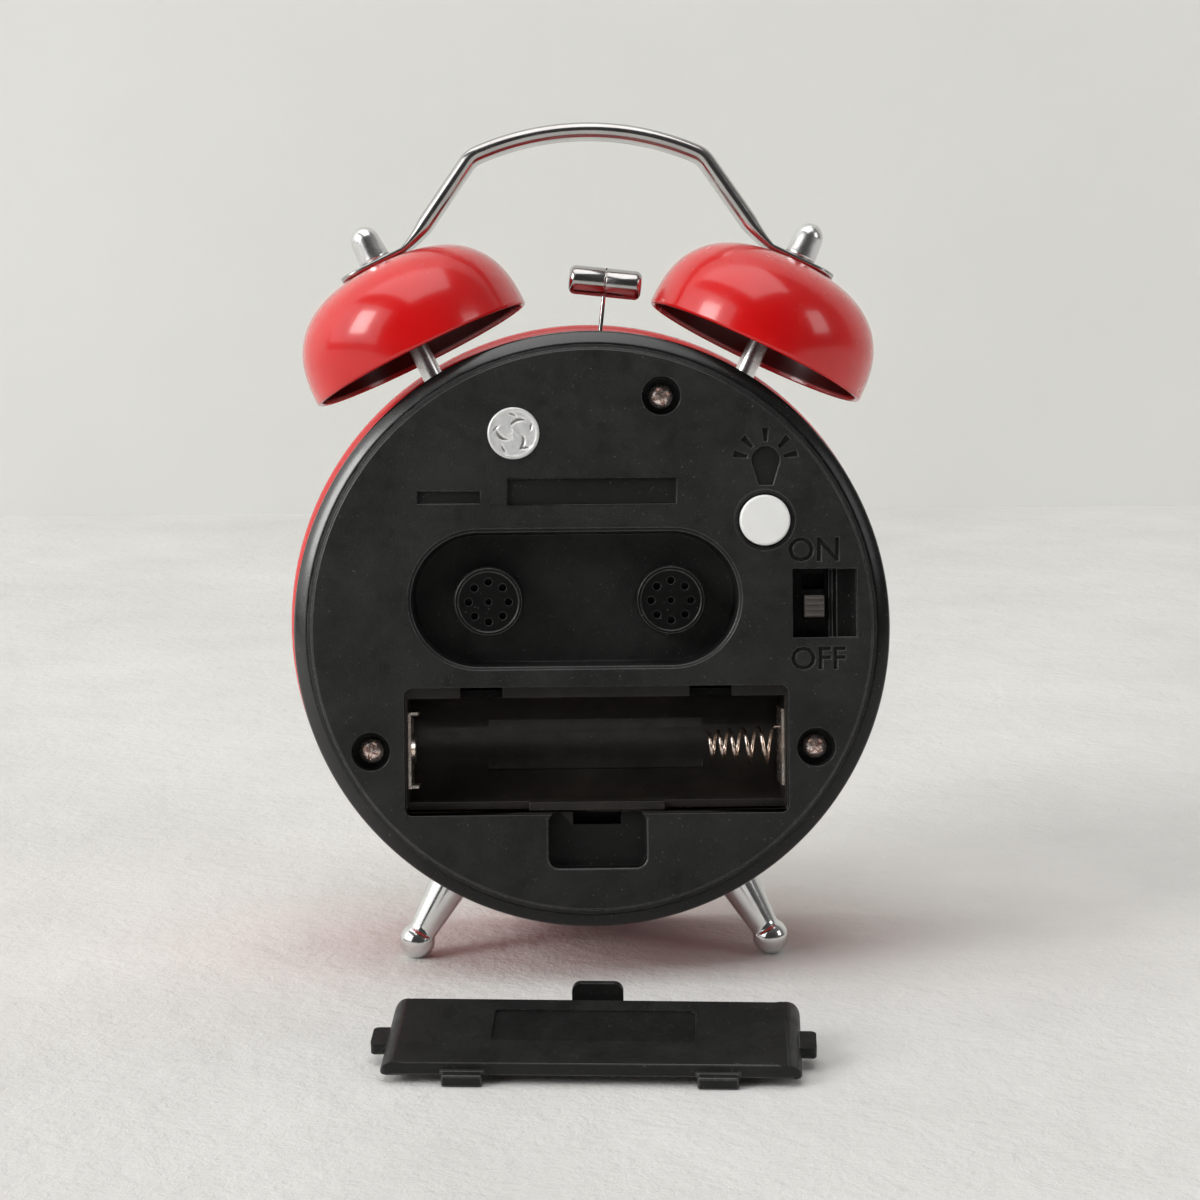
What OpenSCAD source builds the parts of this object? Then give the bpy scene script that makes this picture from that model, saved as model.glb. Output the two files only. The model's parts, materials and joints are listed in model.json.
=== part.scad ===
// Twin-bell quartz alarm clock, its battery cover taken off and laid on the table behind it.
// Lengths are millimetres. In the clock's own frame X is to the right seen from behind,
// Y runs from the back panel (0) to the dial, and Z is up from the axis of the hands.

/* [Case] */
// Diameter of the back cover's rim
back_d = 90; // [88:0.5:96]
// Depth from the back panel to the front of the bezel
case_depth = 39.5; // [39:0.5:44]
// Thickness of the pressed metal sheet
sheet = 0.8; // [0.6:0.1:1]
// Thickness of the moulded walls
wall = 1.2; // [1:0.1:1.5]
// Growth of the drum's radius from its back edge to its front edge
drum_flare = 1.2; // [0.8:0.2:2]
// Radius of the rounded bead round the bezel
bead_r = 2.5; // [2.2:0.1:2.8]
// Distance from the back panel to the plane of the bells, feet and hammer
mid_y = 17; // [16.4:0.2:17.6]

/* [Back cover] */
// Thickness of the back panel
panel_t = 2; // [1.8:0.1:2.4]
// Width of the stepped and rounded shoulder round the panel
shoulder_w = 2.7; // [2.4:0.1:3]
// Depth of the sunk field round the two knobs
recess_depth = 8; // [7:0.25:8.5]
// End radius of the sunk field
recess_r = 10.2; // [9.5:0.1:10.4]
// Depth of the bare label bars
label_depth = 0.35; // [0.2:0.05:0.5]
// Radius of the cross-head screws' heads
screw_head_r = 1.8; // [1.6:0.1:2]
// Radius of the foil seal disc
seal_r = 3.9; // [3:0.1:4.2]

/* [Knobs and switches] */
// Radius of the two setting knobs
knob_r = 5.25; // [4.6:0.05:5.5]
// Height of the knobs' faces below the back panel
knob_sunk = 1; // [0.5:0.1:2]
// Radius of the grip holes in the knobs' faces
grip_r = 0.6; // [0.4:0.05:0.7]
// Radius of the light button
button_r = 3.8; // [3.4:0.1:4]
// How far the light button moves when it is pressed
button_travel = 1.2; // [0.8:0.1:1.4]
// Height of the light button above the back panel
button_proud = 0.7; // [0.4:0.1:1]
// How far the alarm switch slides from off to on
switch_travel = 3; // [2:0.1:3.2]

/* [Battery bay] */
// Length of the cell that the bay takes
cell_len = 50.5; // [50:0.1:51]
// Diameter of the cell that the bay takes
cell_d = 14.5; // [14:0.1:14.8]
// Room left for the contacts and the pressed spring
contact_room = 7.25; // [6.8:0.05:7.6]
// Height of the bay's mouth
mouth_h = 19.2; // [18.8:0.1:19.6]
// Wire diameter of the contact spring
wire_d = 0.6; // [0.5:0.05:0.7]
// Coil diameter of the contact spring at its free end
coil_d = 4.7; // [4.2:0.1:5]
// Turns of the contact spring
coil_turns = 5; // [4:1:6]
// Free length of the contact spring
coil_len = 11.5; // [10.5:0.1:12.5]

/* [Battery cover] */
// Thickness of the battery cover's edge
lid_t = 2; // [1.8:0.1:2.2]
// Clearance between the battery cover and the bay's mouth
lid_gap = 0.3; // [0.2:0.05:0.4]
// Distance from the back panel's foot to the battery cover on the table
lid_away = 27; // [18:1:40]
// Turn of the battery cover on the table, its right end towards the back
lid_turn = 4; // [0:0.5:12]
// Sideways place of the battery cover on the table
lid_side = -1.6; // [-4:0.2:4]

/* [Bells] */
// Diameter of a bell's rim
bell_d = 36; // [34:0.5:36.5]
// Height of a bell from its rim to its top
bell_h = 15; // [14:0.25:16.5]
// Outward lean of a bell's axis
bell_tilt = 26; // [25:0.5:27]
// Direction of a bell's seat on the drum, measured from straight up
bell_seat = 31.3; // [30.5:0.1:32]
// Gap between the drum and the plane of a bell's rim
bell_gap = 4.4; // [3.9:0.1:5]
// Radius of the posts that carry the bells
post_r = 1.6; // [1.4:0.1:1.9]
// Radius of the domed cap nuts
cap_r = 2.25; // [2:0.05:2.4]

/* [Handle] */
// Height of the handle's crown above the axis of the hands
handle_top = 77; // [76:0.5:84]
// Radius of the handle's arch
arch_r = 43; // [40:1:54]
// Distance from the middle to the handle's shoulder
shoulder_x = 17; // [16:0.5:18]
// Radius of the bend at the handle's shoulder
shoulder_r = 4; // [3:0.25:5]
// Width of the handle's bar from back to front
bar_w = 6; // [5:0.25:7]
// Thickness of the handle's bar
bar_t = 2.4; // [1.6:0.1:2.8]
// Thickness of the flattened tabs under the cap nuts
tab_t = 0.8; // [0.6:0.1:1]

/* [Hammer] */
// Length of the hammer head
head_len = 11.3; // [10.5:0.1:11.8]
// Diameter of the hammer head
head_d = 4.5; // [4:0.1:4.8]
// Height of the hammer head above its pivot
hammer_len = 24.2; // [23.8:0.1:25]
// Height of the hammer's pivot above the axis of the hands
pivot_z = 29.5; // [29:0.1:30]
// Lean of the hammer where it comes to rest
hammer_rest = 6.4; // [5:0.2:7]

/* [Feet] */
// Radius of the ball that ends a foot
ball_r = 2.8; // [2.4:0.05:2.9]
// Radius of a foot where it meets the drum
foot_top_r = 2.8; // [2.2:0.1:3.2]
// Radius of a foot's neck above the ball
neck_r = 1.95; // [1.5:0.05:2.2]
// Distance from the drum's skin to the ball's middle
foot_len = 10.4; // [10:0.1:11.4]
// Direction of a foot, measured from straight down
foot_angle = 29.5; // [27:0.5:32]

/* [Dial and hands] */
// Thickness of the lens
lens_t = 1.6; // [1.2:0.1:1.8]
// Height of the dial ring between the dial and the lens
ring_h = 5.8; // [5.4:0.1:6.4]
// Length of the minute hand from the axis
minute_len = 33; // [28:0.5:36]
// Length of the hour hand from the axis
hour_len = 23; // [18:0.5:26]
// Length of the second hand from the axis
second_len = 34; // [28:0.5:37]
// Length of the alarm hand from the axis
alarm_len = 18; // [14:0.5:22]

/* [Hidden] */
$fn = 48;

// Clearances: faces that meet, turning fits and sliding fits
fit = 0.05;
run = 0.08;
slide = 0.25;
// A length that carries a cut through a wall
through = 60;

// Radii and depths of the case
back_r = back_d / 2;
panel_r = back_r - shoulder_w;
drum_y0 = 5;
drum_r0 = back_r + 0.2;
bead_y = case_depth - bead_r;
drum_y1 = bead_y - bead_r - 0.5;
bead_c = drum_r0 + drum_flare - 0.3;
spigot_r = drum_r0 - sheet - 0.1;
spigot_y = 7;
function drum_r(y) = drum_r0 + drum_flare * (y - drum_y0) / (drum_y1 - drum_y0);

// The stack behind the lens, from the bezel's lip back to the movement
lip_t = 1.2;
lens_y1 = case_depth - lip_t - fit;
lens_y0 = lens_y1 - lens_t;
lens_r = drum_r0 - 1;
lip_r = lens_r - 2.9;
lens_crown = 1.2;
ring_y1 = lens_y0 - fit;
dial_y1 = ring_y1 - ring_h - fit;
dial_t = 0.8;
dial_y0 = dial_y1 - dial_t;
stack_r = lens_r - 0.1;
frame_y1 = dial_y0 - fit;
web_t = 1.5;
plate_t = 1.2;
plate_y0 = frame_y1 - plate_t;
case_out = 26.2;
case_in = 24.5;
case_back = 1;

// Places on the back panel, as [x, z]
recess_c = [-2.6, 4.65];
recess_half = 14.55;
time_at = [-15.62, 4.3];
alarm_at = [11.84, 4.3];
seal_at = [-11.6, 29.55];
button_at = [26, 16.2];
switch_at = [33.5, 3.15];
window_x = [30.1, 35.7];
window_z = [-1.5, 8.85];
scoop_x = 39.8;
window_d = 3.6;
bore_r = screw_head_r + 1.1;
bore_d = 3.4;
boss_y = bore_d + 1.4;
boss_r = 2.6;
shank_r = 0.95;
shank_len = 7;
knob_y0 = knob_sunk;
knob_y1 = recess_depth - 0.3;
shaft_r = 1.3;
shaft_tip_r = 0.7;
tub_y = recess_depth + wall;

// Battery bay
bay_at = [0.45, -18.15];
mouth_l = cell_len + contact_room;
bay_l = mouth_l - 0.8;
screw_x = mouth_l / 2 + 4.6;
screw_at = [[10.6, 35], [screw_x, -18], [-screw_x, -18]];
bay_r = cell_d / 2 + 0.65;
seat_d = lid_t + 0.1;
bay_axis = seat_d + 5.4;
notch_x = 17.3;
notch_w = 6.2;
bridge_x = 10.2;
finger_w = 14.7;
finger_h = 8.5;
finger_d = 3.2;
latch_d = 5;
latch_half = 3.6;
latch_h = 1.9;
plate_half = [16.6, 3.9];
floor_y = bay_axis + cell_d / 2 + 0.25;
contact_t = 0.4;
contact_h = 11.5;

// Battery cover, in its own frame: X along it, Y from its hinge edge to its latch edge
lid_l = mouth_l - 2 * lid_gap;
lid_w = mouth_h - 2 * lid_gap;
lid_skin = 1.3;
lid_tab_w = notch_w - 0.6;
lid_tab_out = 1.4;
lid_tab_z = -3;
lid_latch_w = 7.3;
lid_latch_out = 3.4;
lid_latch_z = -6.4;
lid_latch_top = 1.3;
lid_ear = 2.1;
lid_tilt = atan((lid_tab_z - lid_latch_z) / (lid_w + lid_tab_out));
lid_low = lid_tab_z * cos(lid_tilt) - lid_tab_out * sin(lid_tilt);

// Bells, posts and handle, in the plane of the bells
bell_r = bell_d / 2;
rim_dist = drum_r(mid_y) + bell_gap;
rim_at = [rim_dist * sin(bell_seat), rim_dist * cos(bell_seat)];
bell_dir = [sin(bell_tilt), cos(bell_tilt)];
bell_out = [cos(bell_tilt), -sin(bell_tilt)];
bell_power = 2.6;
stud_r = 1.1;
post_root = bell_gap + 3.6;
stud_root = bell_gap + 8.6;
stud_over = 3.5;
apex_at = rim_at + bell_h * bell_dir;
nut_v = bell_h + tab_t + 2 * fit;
cap_len = 5.8;
tab_out = 6;
tab_in = 7.2;
bend_at = apex_at + (fit + bar_t / 2) * bell_dir - tab_in * bell_out;
arch_c = handle_top - arch_r;
arch_half = asin(shoulder_x / arch_r);
shoulder_c = [(arch_r - shoulder_r) * sin(arch_half), arch_c + (arch_r - shoulder_r) * cos(arch_half)];
leg_far = norm(bend_at - shoulder_c);
leg_angle = atan2(bend_at[1] - shoulder_c[1], bend_at[0] - shoulder_c[0]) + acos(shoulder_r / leg_far);

// Hammer drive
lever_t = 2;
lever_w = 3;
lever_up = 6;
pin_r = 0.8;
motor_z = 22;
motor_r = 5;
bracket_y1 = mid_y - lever_t / 2 - 1.6;
bracket_y0 = bracket_y1 - 1;
motor_y0 = 3.5;
cam_r = 2;
cam_off = 1;
fork_half = 4.3;
prong_w = 1.6;
hammer_wire_r = 0.35;
bracket_post = [11.5, 26.5];
bracket_half = bracket_post[0] + 2.5;
bracket_z = [motor_z - motor_r - 0.2, bracket_post[1] + 2.5, pivot_z + 3.5];

// Feet and the clock's forward lean on its feet and bezel
foot_dist = drum_r(mid_y) + foot_len;
foot_z = -foot_dist * cos(foot_angle);
foot_flat = 0.15;
rest_a = bead_y - mid_y;
rest_b = foot_z + bead_c;
lean = asin((ball_r - foot_flat - bead_r) / norm([rest_a, rest_b])) - atan2(rest_b, rest_a);
stand_z = mid_y * sin(lean) - foot_z * cos(lean) + ball_r - foot_flat;
front_y = bead_y * cos(lean) + bead_c * sin(lean) + bead_r;
foot_y = -back_r * sin(lean);
lid_y0 = foot_y - lid_away - lid_w * cos(lid_tilt);
lid_reach = lid_tab_out * cos(lid_tilt) - lid_skin * sin(lid_tilt);
lid_front = (notch_x + lid_tab_w / 2) * sin(lid_turn) + lid_reach * cos(lid_turn);
stand_y = -(front_y + lid_y0 - lid_front) / 2;

// Movement: it starts clear of the battery bay and the striker, and its wheels share the depth
case_y0 = max(bay_axis + bay_r + wall, mid_y + lever_t / 2 + 0.7) + 0.6;
wheel_step = (plate_y0 - case_y0 - case_back) / 7;
gear_t = wheel_step - 0.2;
second_y = case_y0 + case_back + wheel_step / 2;
minute_y = second_y + wheel_step;
cannon_y = minute_y + wheel_step;
hour_y = cannon_y + 1.1 * wheel_step;
alarm_y = hour_y + 1.5 * wheel_step;
time_dist = norm(time_at);
alarm_dist = norm(alarm_at);
motion_dist = 12;
motion_at = [0, -motion_dist];
minute_teeth = 32;
time_teeth = 22;
time_mod = 2 * time_dist / (minute_teeth + time_teeth);
cannon_teeth = 12;
motion_teeth = 36;
motion_mod = 2 * motion_dist / (cannon_teeth + motion_teeth);
pinion_teeth = 10;
hour_teeth = 40;
hour_mod = 2 * motion_dist / (pinion_teeth + hour_teeth);
alarm_teeth = 30;
set_teeth = 12;
alarm_mod = 2 * alarm_dist / (alarm_teeth + set_teeth);
tube_t = 0.4;
second_r = 0.45;
minute_ri = second_r + run;
minute_ro = minute_ri + tube_t;
hour_ri = minute_ro + run;
hour_ro = hour_ri + tube_t;
alarm_ri = hour_ro + run;
alarm_ro = alarm_ri + 0.5;
bush_ri = alarm_ro + run;
bush_ro = bush_ri + 1.1;
hand_t = 0.4;
alarm_hand_y = dial_y1 + 0.8;
hour_hand_y = alarm_hand_y + 0.8;
minute_hand_y = hour_hand_y + 0.8;
second_hand_y = minute_hand_y + 0.8;
motion_arbor_r = 0.6;

// Control board and lamp
board_y0 = tub_y + 0.3;
board_t = 1.2;
board_x = [13.5, 32];
board_z = [11, 25.5];
board_pegs = [[17, 22], [30, 23]];
tube_y = 5;
flange_t = 1;
flange_y = tube_y + slide;
plunger_r = 1.6;
tact_y = flange_y + flange_t + button_travel + 0.3;
lamp_at = [0, -33];
lamp_r = 1.5;

// Colours of the materials
red = [0.68, 0.06, 0.07];
black = [0.09, 0.09, 0.1];
chrome = [0.78, 0.78, 0.8];
white = [0.93, 0.93, 0.92];
brass = [0.75, 0.6, 0.3];

// Points of an arc in the plane, from one angle to another
function arc(c, r, a0, a1, n) =
    [for (i = [0 : n]) let (a = a0 + (a1 - a0) * i / n) c + r * [cos(a), sin(a)]];

// Faces of a tube through rings of points, closed at both ends
function tube_faces(last, sides) = concat(
    [for (i = [0 : last - 1], k = [0 : sides - 1]) let (n = (k + 1) % sides, a = i * sides)
        each [[a + k, a + sides + k, a + n], [a + n, a + sides + k, a + sides + n]]],
    [[for (k = [0 : sides - 1]) k]], [[for (k = [0 : sides - 1]) last * sides + sides - 1 - k]]);

// Angle of a point in the plane
function heading(p) = atan2(p[1], p[0]);

// Places its children in the row frame as the clock stands: tipped forward on feet and bezel
module standing() {
    translate([0, stand_y, stand_z]) rotate([-lean, 0, 0]) children();
}

// Turns a profile of radius and depth about the axis of the hands
module turned() {
    rotate([-90, 0, 0]) rotate_extrude($fn = 96) children();
}

// Extrudes a shape drawn in X and Z from depth y0 to depth y1
module slab(y0, y1) {
    translate([0, y1, 0]) rotate([90, 0, 0]) linear_extrude(y1 - y0) children();
}

// A round bar along Y at a place on the panel
module rod(at, r, y0, y1) {
    translate([at[0], y0, at[1]]) rotate([-90, 0, 0]) cylinder(r = r, h = y1 - y0);
}

// A tapered round bar along Y
module cone(at, r0, r1, y0, y1) {
    translate([at[0], y0, at[1]]) rotate([-90, 0, 0]) cylinder(r1 = r0, r2 = r1, h = y1 - y0);
}

// A block between two corners
module block(x0, x1, y0, y1, z0, z1) {
    translate([x0, y0, z0]) cube([x1 - x0, y1 - y0, z1 - z0]);
}

// A plane shape with two round ends along X
module stadium(half, r) {
    square([2 * half, 2 * r], center = true);
    for (s = [-1, 1]) translate([s * half, 0]) circle(r = r);
}

// A rectangle with round corners
module round_rect(w, h, r) {
    square([w - 2 * r, h], center = true);
    square([w, h - 2 * r], center = true);
    for (x = [-1, 1], y = [-1, 1]) translate([x * (w / 2 - r), y * (h / 2 - r)]) circle(r = r);
}

// Outline of a gear wheel whose first tooth points along +X
module gear_shape(teeth, mod) {
    pitch_r = teeth * mod / 2;
    step = 360 / teeth;
    polygon([for (i = [0 : teeth - 1]) for (p = [[-0.3, -1.15], [-0.12, 0.8], [0.12, 0.8], [0.3, -1.15]])
        let (a = step * (i + p[0]), r = pitch_r + p[1] * mod) r * [cos(a), sin(a)]]);
}

// A gear wheel at a place on the panel, turned so that a tooth or a gap faces a direction
module gear(at, teeth, mod, y0, facing, gap = false) {
    translate([at[0], 0, at[1]]) slab(y0, y0 + gear_t)
        rotate(facing + (gap ? 180 / teeth : 0)) gear_shape(teeth, mod);
}

// Puts its children on the axis of a bell, Z along the axis from the rim's plane
module on_bell(side) {
    translate([side * rim_at[0], mid_y, rim_at[1]]) rotate([0, side * bell_tilt, 0]) children();
}

// Puts its children on the axis of a foot, Z outward from the axis of the hands
module on_foot(side) {
    translate([0, mid_y, 0]) rotate([0, side * (180 - foot_angle), 0]) children();
}

// The space inside the drum's skin, grown by a clearance
module drum_space(grow) {
    y1 = drum_y1 + 1;
    turned() polygon([[0, drum_y0 - 1], [drum_r(drum_y0 - 1) + grow, drum_y0 - 1],
        [drum_r(y1) + grow, y1], [0, y1]]);
}

// Case

module drum() color(red) standing() difference() {
    turned() polygon([[drum_r0 - sheet, drum_y0 + fit], [drum_r0, drum_y0 + fit],
        [drum_r(drum_y1), drum_y1], [drum_r(drum_y1) - sheet, drum_y1]]);
    for (side = [-1, 1]) {
        on_bell(side) translate([0, 0, -12]) cylinder(r = stud_r + 0.15, h = 14);
        on_foot(side) translate([0, 0, back_r - 6]) cylinder(r = stud_r + 0.15, h = 14);
    }
    translate([0, mid_y, back_r - 6]) linear_extrude(14) stadium(3.2, 1.3);
}

module bezel() color(red) standing() turned() difference() {
    union() {
        translate([bead_c, bead_y]) circle(r = bead_r);
        translate([lens_r + 0.1, drum_y1 + fit]) square([drum_r(drum_y1) - lens_r - 0.3, bead_y - drum_y1]);
        translate([lens_r + 0.1, drum_y1 - 3])
            square([drum_r(drum_y1 - 3) - sheet - fit - lens_r - 0.1, 4]);
        translate([lip_r, case_depth - lip_t]) square([bead_c - lip_r, lip_t]);
    }
    translate([0, drum_y1 - 4]) square([lens_r + 0.1, case_depth - lip_t - drum_y1 + 4]);
}

module lens() color([0.85, 0.9, 0.92]) standing() turned() {
    dome_r = (lip_r * lip_r + lens_crown * lens_crown) / (2 * lens_crown);
    dome_a = asin(lip_r / dome_r);
    outer = arc([0, lens_y1 + lens_crown - dome_r], dome_r, 90 - dome_a, 90, 6);
    inner = arc([0, lens_y0 + lens_crown - dome_r], dome_r, 90, 90 - dome_a, 6);
    polygon(concat([[lens_r, lens_y0], [lens_r, lens_y1]], outer, inner));
}

module dial() color(white) standing() difference() {
    turned() translate([bush_ro + 0.15, dial_y0]) square([stack_r - bush_ro - 0.15, dial_t]);
    rod(lamp_at, lamp_r + 0.1, dial_y0 - 1, dial_y1 + 1);
}

module dial_ring() color(white) standing() turned()
    polygon([[stack_r - 2.6, dial_y1 + fit], [stack_r, dial_y1 + fit], [stack_r, ring_y1],
        [stack_r - 1.5, ring_y1]]);

module chassis() color(white) standing() difference() {
    union() {
        turned() {
            translate([stack_r - 3, frame_y1 - 6]) square([3, 6]);
            translate([case_out + 0.3, frame_y1 - web_t]) square([stack_r - case_out - 0.3, web_t]);
        }
        for (at = screw_at) {
            rod(at, boss_r, boss_y + fit, frame_y1);
            rod(at, boss_r + 0.9, frame_y1 - 5, frame_y1);
        }
    }
    for (at = screw_at) rod(at, shank_r + fit, boss_y - 1, boss_y + shank_len + 1);
    rod(lamp_at, lamp_r + 0.1, frame_y1 - 4, frame_y1 + 1);
}

// Profile of the back cover: flat panel, step, rounded shoulder and the spigot inside the drum
function cover_profile() = concat(
    [[0, 0], [panel_r - 0.3, 0], [panel_r, 0.3], [panel_r + 0.1, 1.1], [panel_r + 0.9, 1.25]],
    arc([back_r - 1.7, 2.95], 1.7, -90, 0, 6),
    [[back_r, drum_y0], [spigot_r, drum_y0], [spigot_r, spigot_y], [spigot_r - wall, spigot_y],
    [spigot_r - wall, panel_t + 1.4], [panel_r - 0.5, panel_t + 0.6], [panel_r - 1, panel_t], [0, panel_t]]);

// Sunk field with drafted walls between depth y0 and y1
module drafted_field(r0, r1, y0, y1) {
    for (s = [-1, 1]) cone([recess_c[0] + s * recess_half, recess_c[1]], r0, r1, y0, y1);
    translate([recess_c[0] - recess_half, 0, recess_c[1]]) rotate([90, 0, 90])
        linear_extrude(2 * recess_half) polygon([[y0, -r0], [y1, -r1], [y1, r1], [y0, r0]]);
}

// Bay for the cell: a straight mouth with a half-round floor, grown outward by a wall
module bay_space(grow, y0) {
    r = bay_r + grow;
    translate([bay_at[0] - bay_l / 2 - grow, bay_axis, bay_at[1]]) rotate([90, 0, 90])
        linear_extrude(bay_l + 2 * grow) {
            translate([y0 - bay_axis, -r]) square([bay_axis - y0, 2 * r]);
            difference() {
                circle(r = r);
                translate([-2 * r, -2 * r]) square([2 * r, 4 * r]);
            }
        }
}

module back_cover() color(black) standing() difference() {
    union() {
        turned() polygon(cover_profile());
        drafted_field(recess_r + wall, recess_r + wall - 0.4, panel_t / 2, tub_y);
        bay_space(wall, panel_t / 2);
        translate([bay_at[0], 0, bay_at[1]]) slab(panel_t / 2, seat_d + wall)
            round_rect(mouth_l + 1.6, mouth_h + 1.6, 2);
        for (at = screw_at) rod(at, bore_r + 1, panel_t / 2, boss_y);
        rod(button_at, button_r + slide + 1.1, panel_t / 2, tube_y);
        block(window_x[0] - 1, scoop_x + 0.6, panel_t / 2, window_d, window_z[0] - 1, window_z[1] + 1);
        translate([bay_at[0], 0, bay_at[1]]) {
            block(-plate_half[0] - wall, plate_half[0] + wall, floor_y - 1, floor_y + wall,
                -plate_half[1] - wall, plate_half[1] + wall);
            translate([0, 0, -(mouth_h + finger_h) / 2]) {
                slab(panel_t / 2, finger_d + wall)
                    round_rect(finger_w + 2 * wall, finger_h + 2 * wall, 2.4);
                block(-latch_half - wall, latch_half + wall, panel_t / 2, finger_d + latch_d,
                    finger_h / 2 - latch_h - wall, finger_h / 2 + wall);
            }
        }
        for (s = [-1, 1]) rod([s * bracket_post[0], bracket_post[1]], 2.2, panel_t / 2, bracket_y0 - fit);
        for (at = board_pegs) {
            rod(at, 1.6, panel_t / 2, board_y0 - fit);
            rod(at, 0.7, board_y0 - 1, board_y0 + board_t + 0.5);
        }
    }
    // Knob field and the holes for the setting shafts
    drafted_field(recess_r, recess_r - 0.5, 0, recess_depth);
    drafted_field(recess_r + 0.5, recess_r - 0.02, -0.1, 0.5);
    for (at = [time_at, alarm_at]) rod(at, shaft_r + 0.3, recess_depth - 1, tub_y + 1);
    // Battery bay with the cover's seat, hinge notches and latch bridge
    bay_space(0, seat_d - 0.5);
    translate([bay_at[0], 0, bay_at[1]]) {
        block(-plate_half[0], plate_half[0], bay_axis, floor_y, -plate_half[1], plate_half[1]);
        slab(-1, seat_d) round_rect(mouth_l, mouth_h, 1.2);
        for (s = [-1, 1]) {
            block(s * notch_x - notch_w / 2, s * notch_x + notch_w / 2, -1, seat_d + 3,
                bay_r - 1, mouth_h / 2);
            translate([s * (bridge_x + bay_l / 2) / 2, 0, 0])
                block(-(bay_l / 2 - bridge_x) / 2, (bay_l / 2 - bridge_x) / 2, -1, seat_d + 2,
                    -mouth_h / 2 + 0.3, -bay_r + 1);
        }
        translate([0, 0, -(mouth_h + finger_h) / 2 + 0.4]) {
            slab(-1, finger_d) round_rect(finger_w, finger_h, 1.6);
            block(-latch_half, latch_half, 0, finger_d + latch_d - wall, finger_h / 2 - latch_h - 0.3,
                finger_h / 2 - 0.3);
        }
    }
    // Screw bores, light button, alarm switch window with its finger scoop
    for (at = screw_at) {
        rod(at, bore_r, -1, bore_d);
        rod(at, shank_r + 0.2, 0, boss_y + 1);
    }
    rod(button_at, button_r + slide, -1, tube_y + 1);
    cone(button_at, button_r + slide + 0.7, button_r + slide, -0.1, 0.5);
    block(window_x[0], window_x[1], -1, window_d + 1, window_z[0], window_z[1]);
    translate([0, 0, window_z[0]]) linear_extrude(window_z[1] - window_z[0])
        polygon([[window_x[1] - 1, -1], [scoop_x, -1], [scoop_x, 0.9], [scoop_x - 1.3, 1.3],
            [window_x[1] + 1.1, 1.1], [window_x[1] + 0.6, 2.4], [window_x[1] - 1, 2.6]]);
    // Bare label bars
    block(-26.2, -16.6, -1, label_depth, 19.05, 21);
    block(-12.7, 12.8, -1, label_depth, 18.75, 22.8);
    for (s = [-1, 1]) rod([s * bracket_post[0], bracket_post[1]], 0.9, bracket_y0 - 6, bracket_y0 + 1);
}

module cover_screws() color(chrome) standing() for (at = screw_at) difference() {
    union() {
        rod(at, screw_head_r, bore_d - fit - 0.8, bore_d - fit);
        cone(at, screw_head_r - 0.7, screw_head_r, bore_d - fit - 1.4, bore_d - fit - 0.8);
        rod(at, shank_r, bore_d - fit - 0.5, boss_y + shank_len);
    }
    for (a = [0, 90]) translate([at[0], 0, at[1]]) rotate([0, a + 20, 0])
        block(-1.2, 1.2, 0, bore_d - 0.9, -0.22, 0.22);
}

module foil_seal() color(chrome) standing() turned_at(seal_at)
    polygon([[0, -0.1], [seal_r - 0.5, -0.1], [seal_r - 0.4, -0.22], [seal_r - 0.05, -0.22], [seal_r, -0.15],
        [seal_r, 0], [0, 0]]);

// Turns a profile about an axis along Y through a place on the panel
module turned_at(at) {
    translate([at[0], 0, at[1]]) turned() children();
}

// Bells and handle

// Half profile of a bell, outer or inner skin, boxier than an ellipse
function bell_skin(r, h, n) = [for (i = [0 : n]) let (a = 90 * i / n)
    [r * pow(cos(a), 2 / bell_power), h * pow(sin(a), 2 / bell_power)]];

module bell(side) {
    steps = 12;
    outer = [for (p = bell_skin(bell_r, bell_h, steps)) if (p[0] > stud_r + 0.15) p];
    inner = [for (p = bell_skin(bell_r - sheet, bell_h - sheet, steps)) if (p[0] > stud_r + 0.15) p];
    count = len(inner);
    on_bell(side) rotate_extrude($fn = 96) polygon(concat(outer,
        [[stud_r + 0.15, bell_h], [stud_r + 0.15, bell_h - sheet]],
        [for (i = [0 : count - 1]) inner[count - 1 - i]]));
}

module bell_left() color(red) standing() bell(-1);

module bell_right() color(red) standing() bell(1);

module bell_posts() color(chrome) standing() for (side = [-1, 1]) difference() {
    on_bell(side) {
        translate([0, 0, -post_root]) cylinder(r = post_r, h = bell_h - sheet - fit + post_root);
        translate([0, 0, -stud_root]) cylinder(r = stud_r, h = stud_root + nut_v + stud_over);
    }
    difference() {
        drum_space(fit);
        on_bell(side) translate([0, 0, -stud_root - 1]) cylinder(r = stud_r, h = 2 * (stud_root + 1));
    }
}

module bell_nuts() color(chrome) standing() for (side = [-1, 1]) on_bell(side) translate([0, 0, nut_v])
    rotate_extrude() polygon(concat(
        [[stud_r + fit, 0], [cap_r + 0.1, 0], [cap_r + 0.3, 0.2], [cap_r + 0.2, 0.9]],
        [for (p = arc([0, 0], 1, 0, 90, 6)) [cap_r * p[0], cap_len - cap_r * 1.1 + cap_r * 1.1 * p[1]]],
        [[0, 3.8], [stud_r + fit, 3.8]]));

// Six-sided nuts on the ends of the bell studs and the foot studs inside the drum
module inner_nuts() color(brass) standing() {
    for (side = [-1, 1]) {
        on_bell(side) translate([0, 0, -bell_gap - sheet - 2.85]) hex_nut(2.1);
        on_foot(side) translate([0, 0, drum_r(mid_y) - sheet - 2.4]) hex_nut(2.1);
    }
}

module hex_nut(h) {
    difference() {
        cylinder(r = 2.3, h = h, $fn = 6);
        translate([0, 0, -1]) cylinder(r = stud_r + fit, h = h + 2);
    }
}

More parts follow.
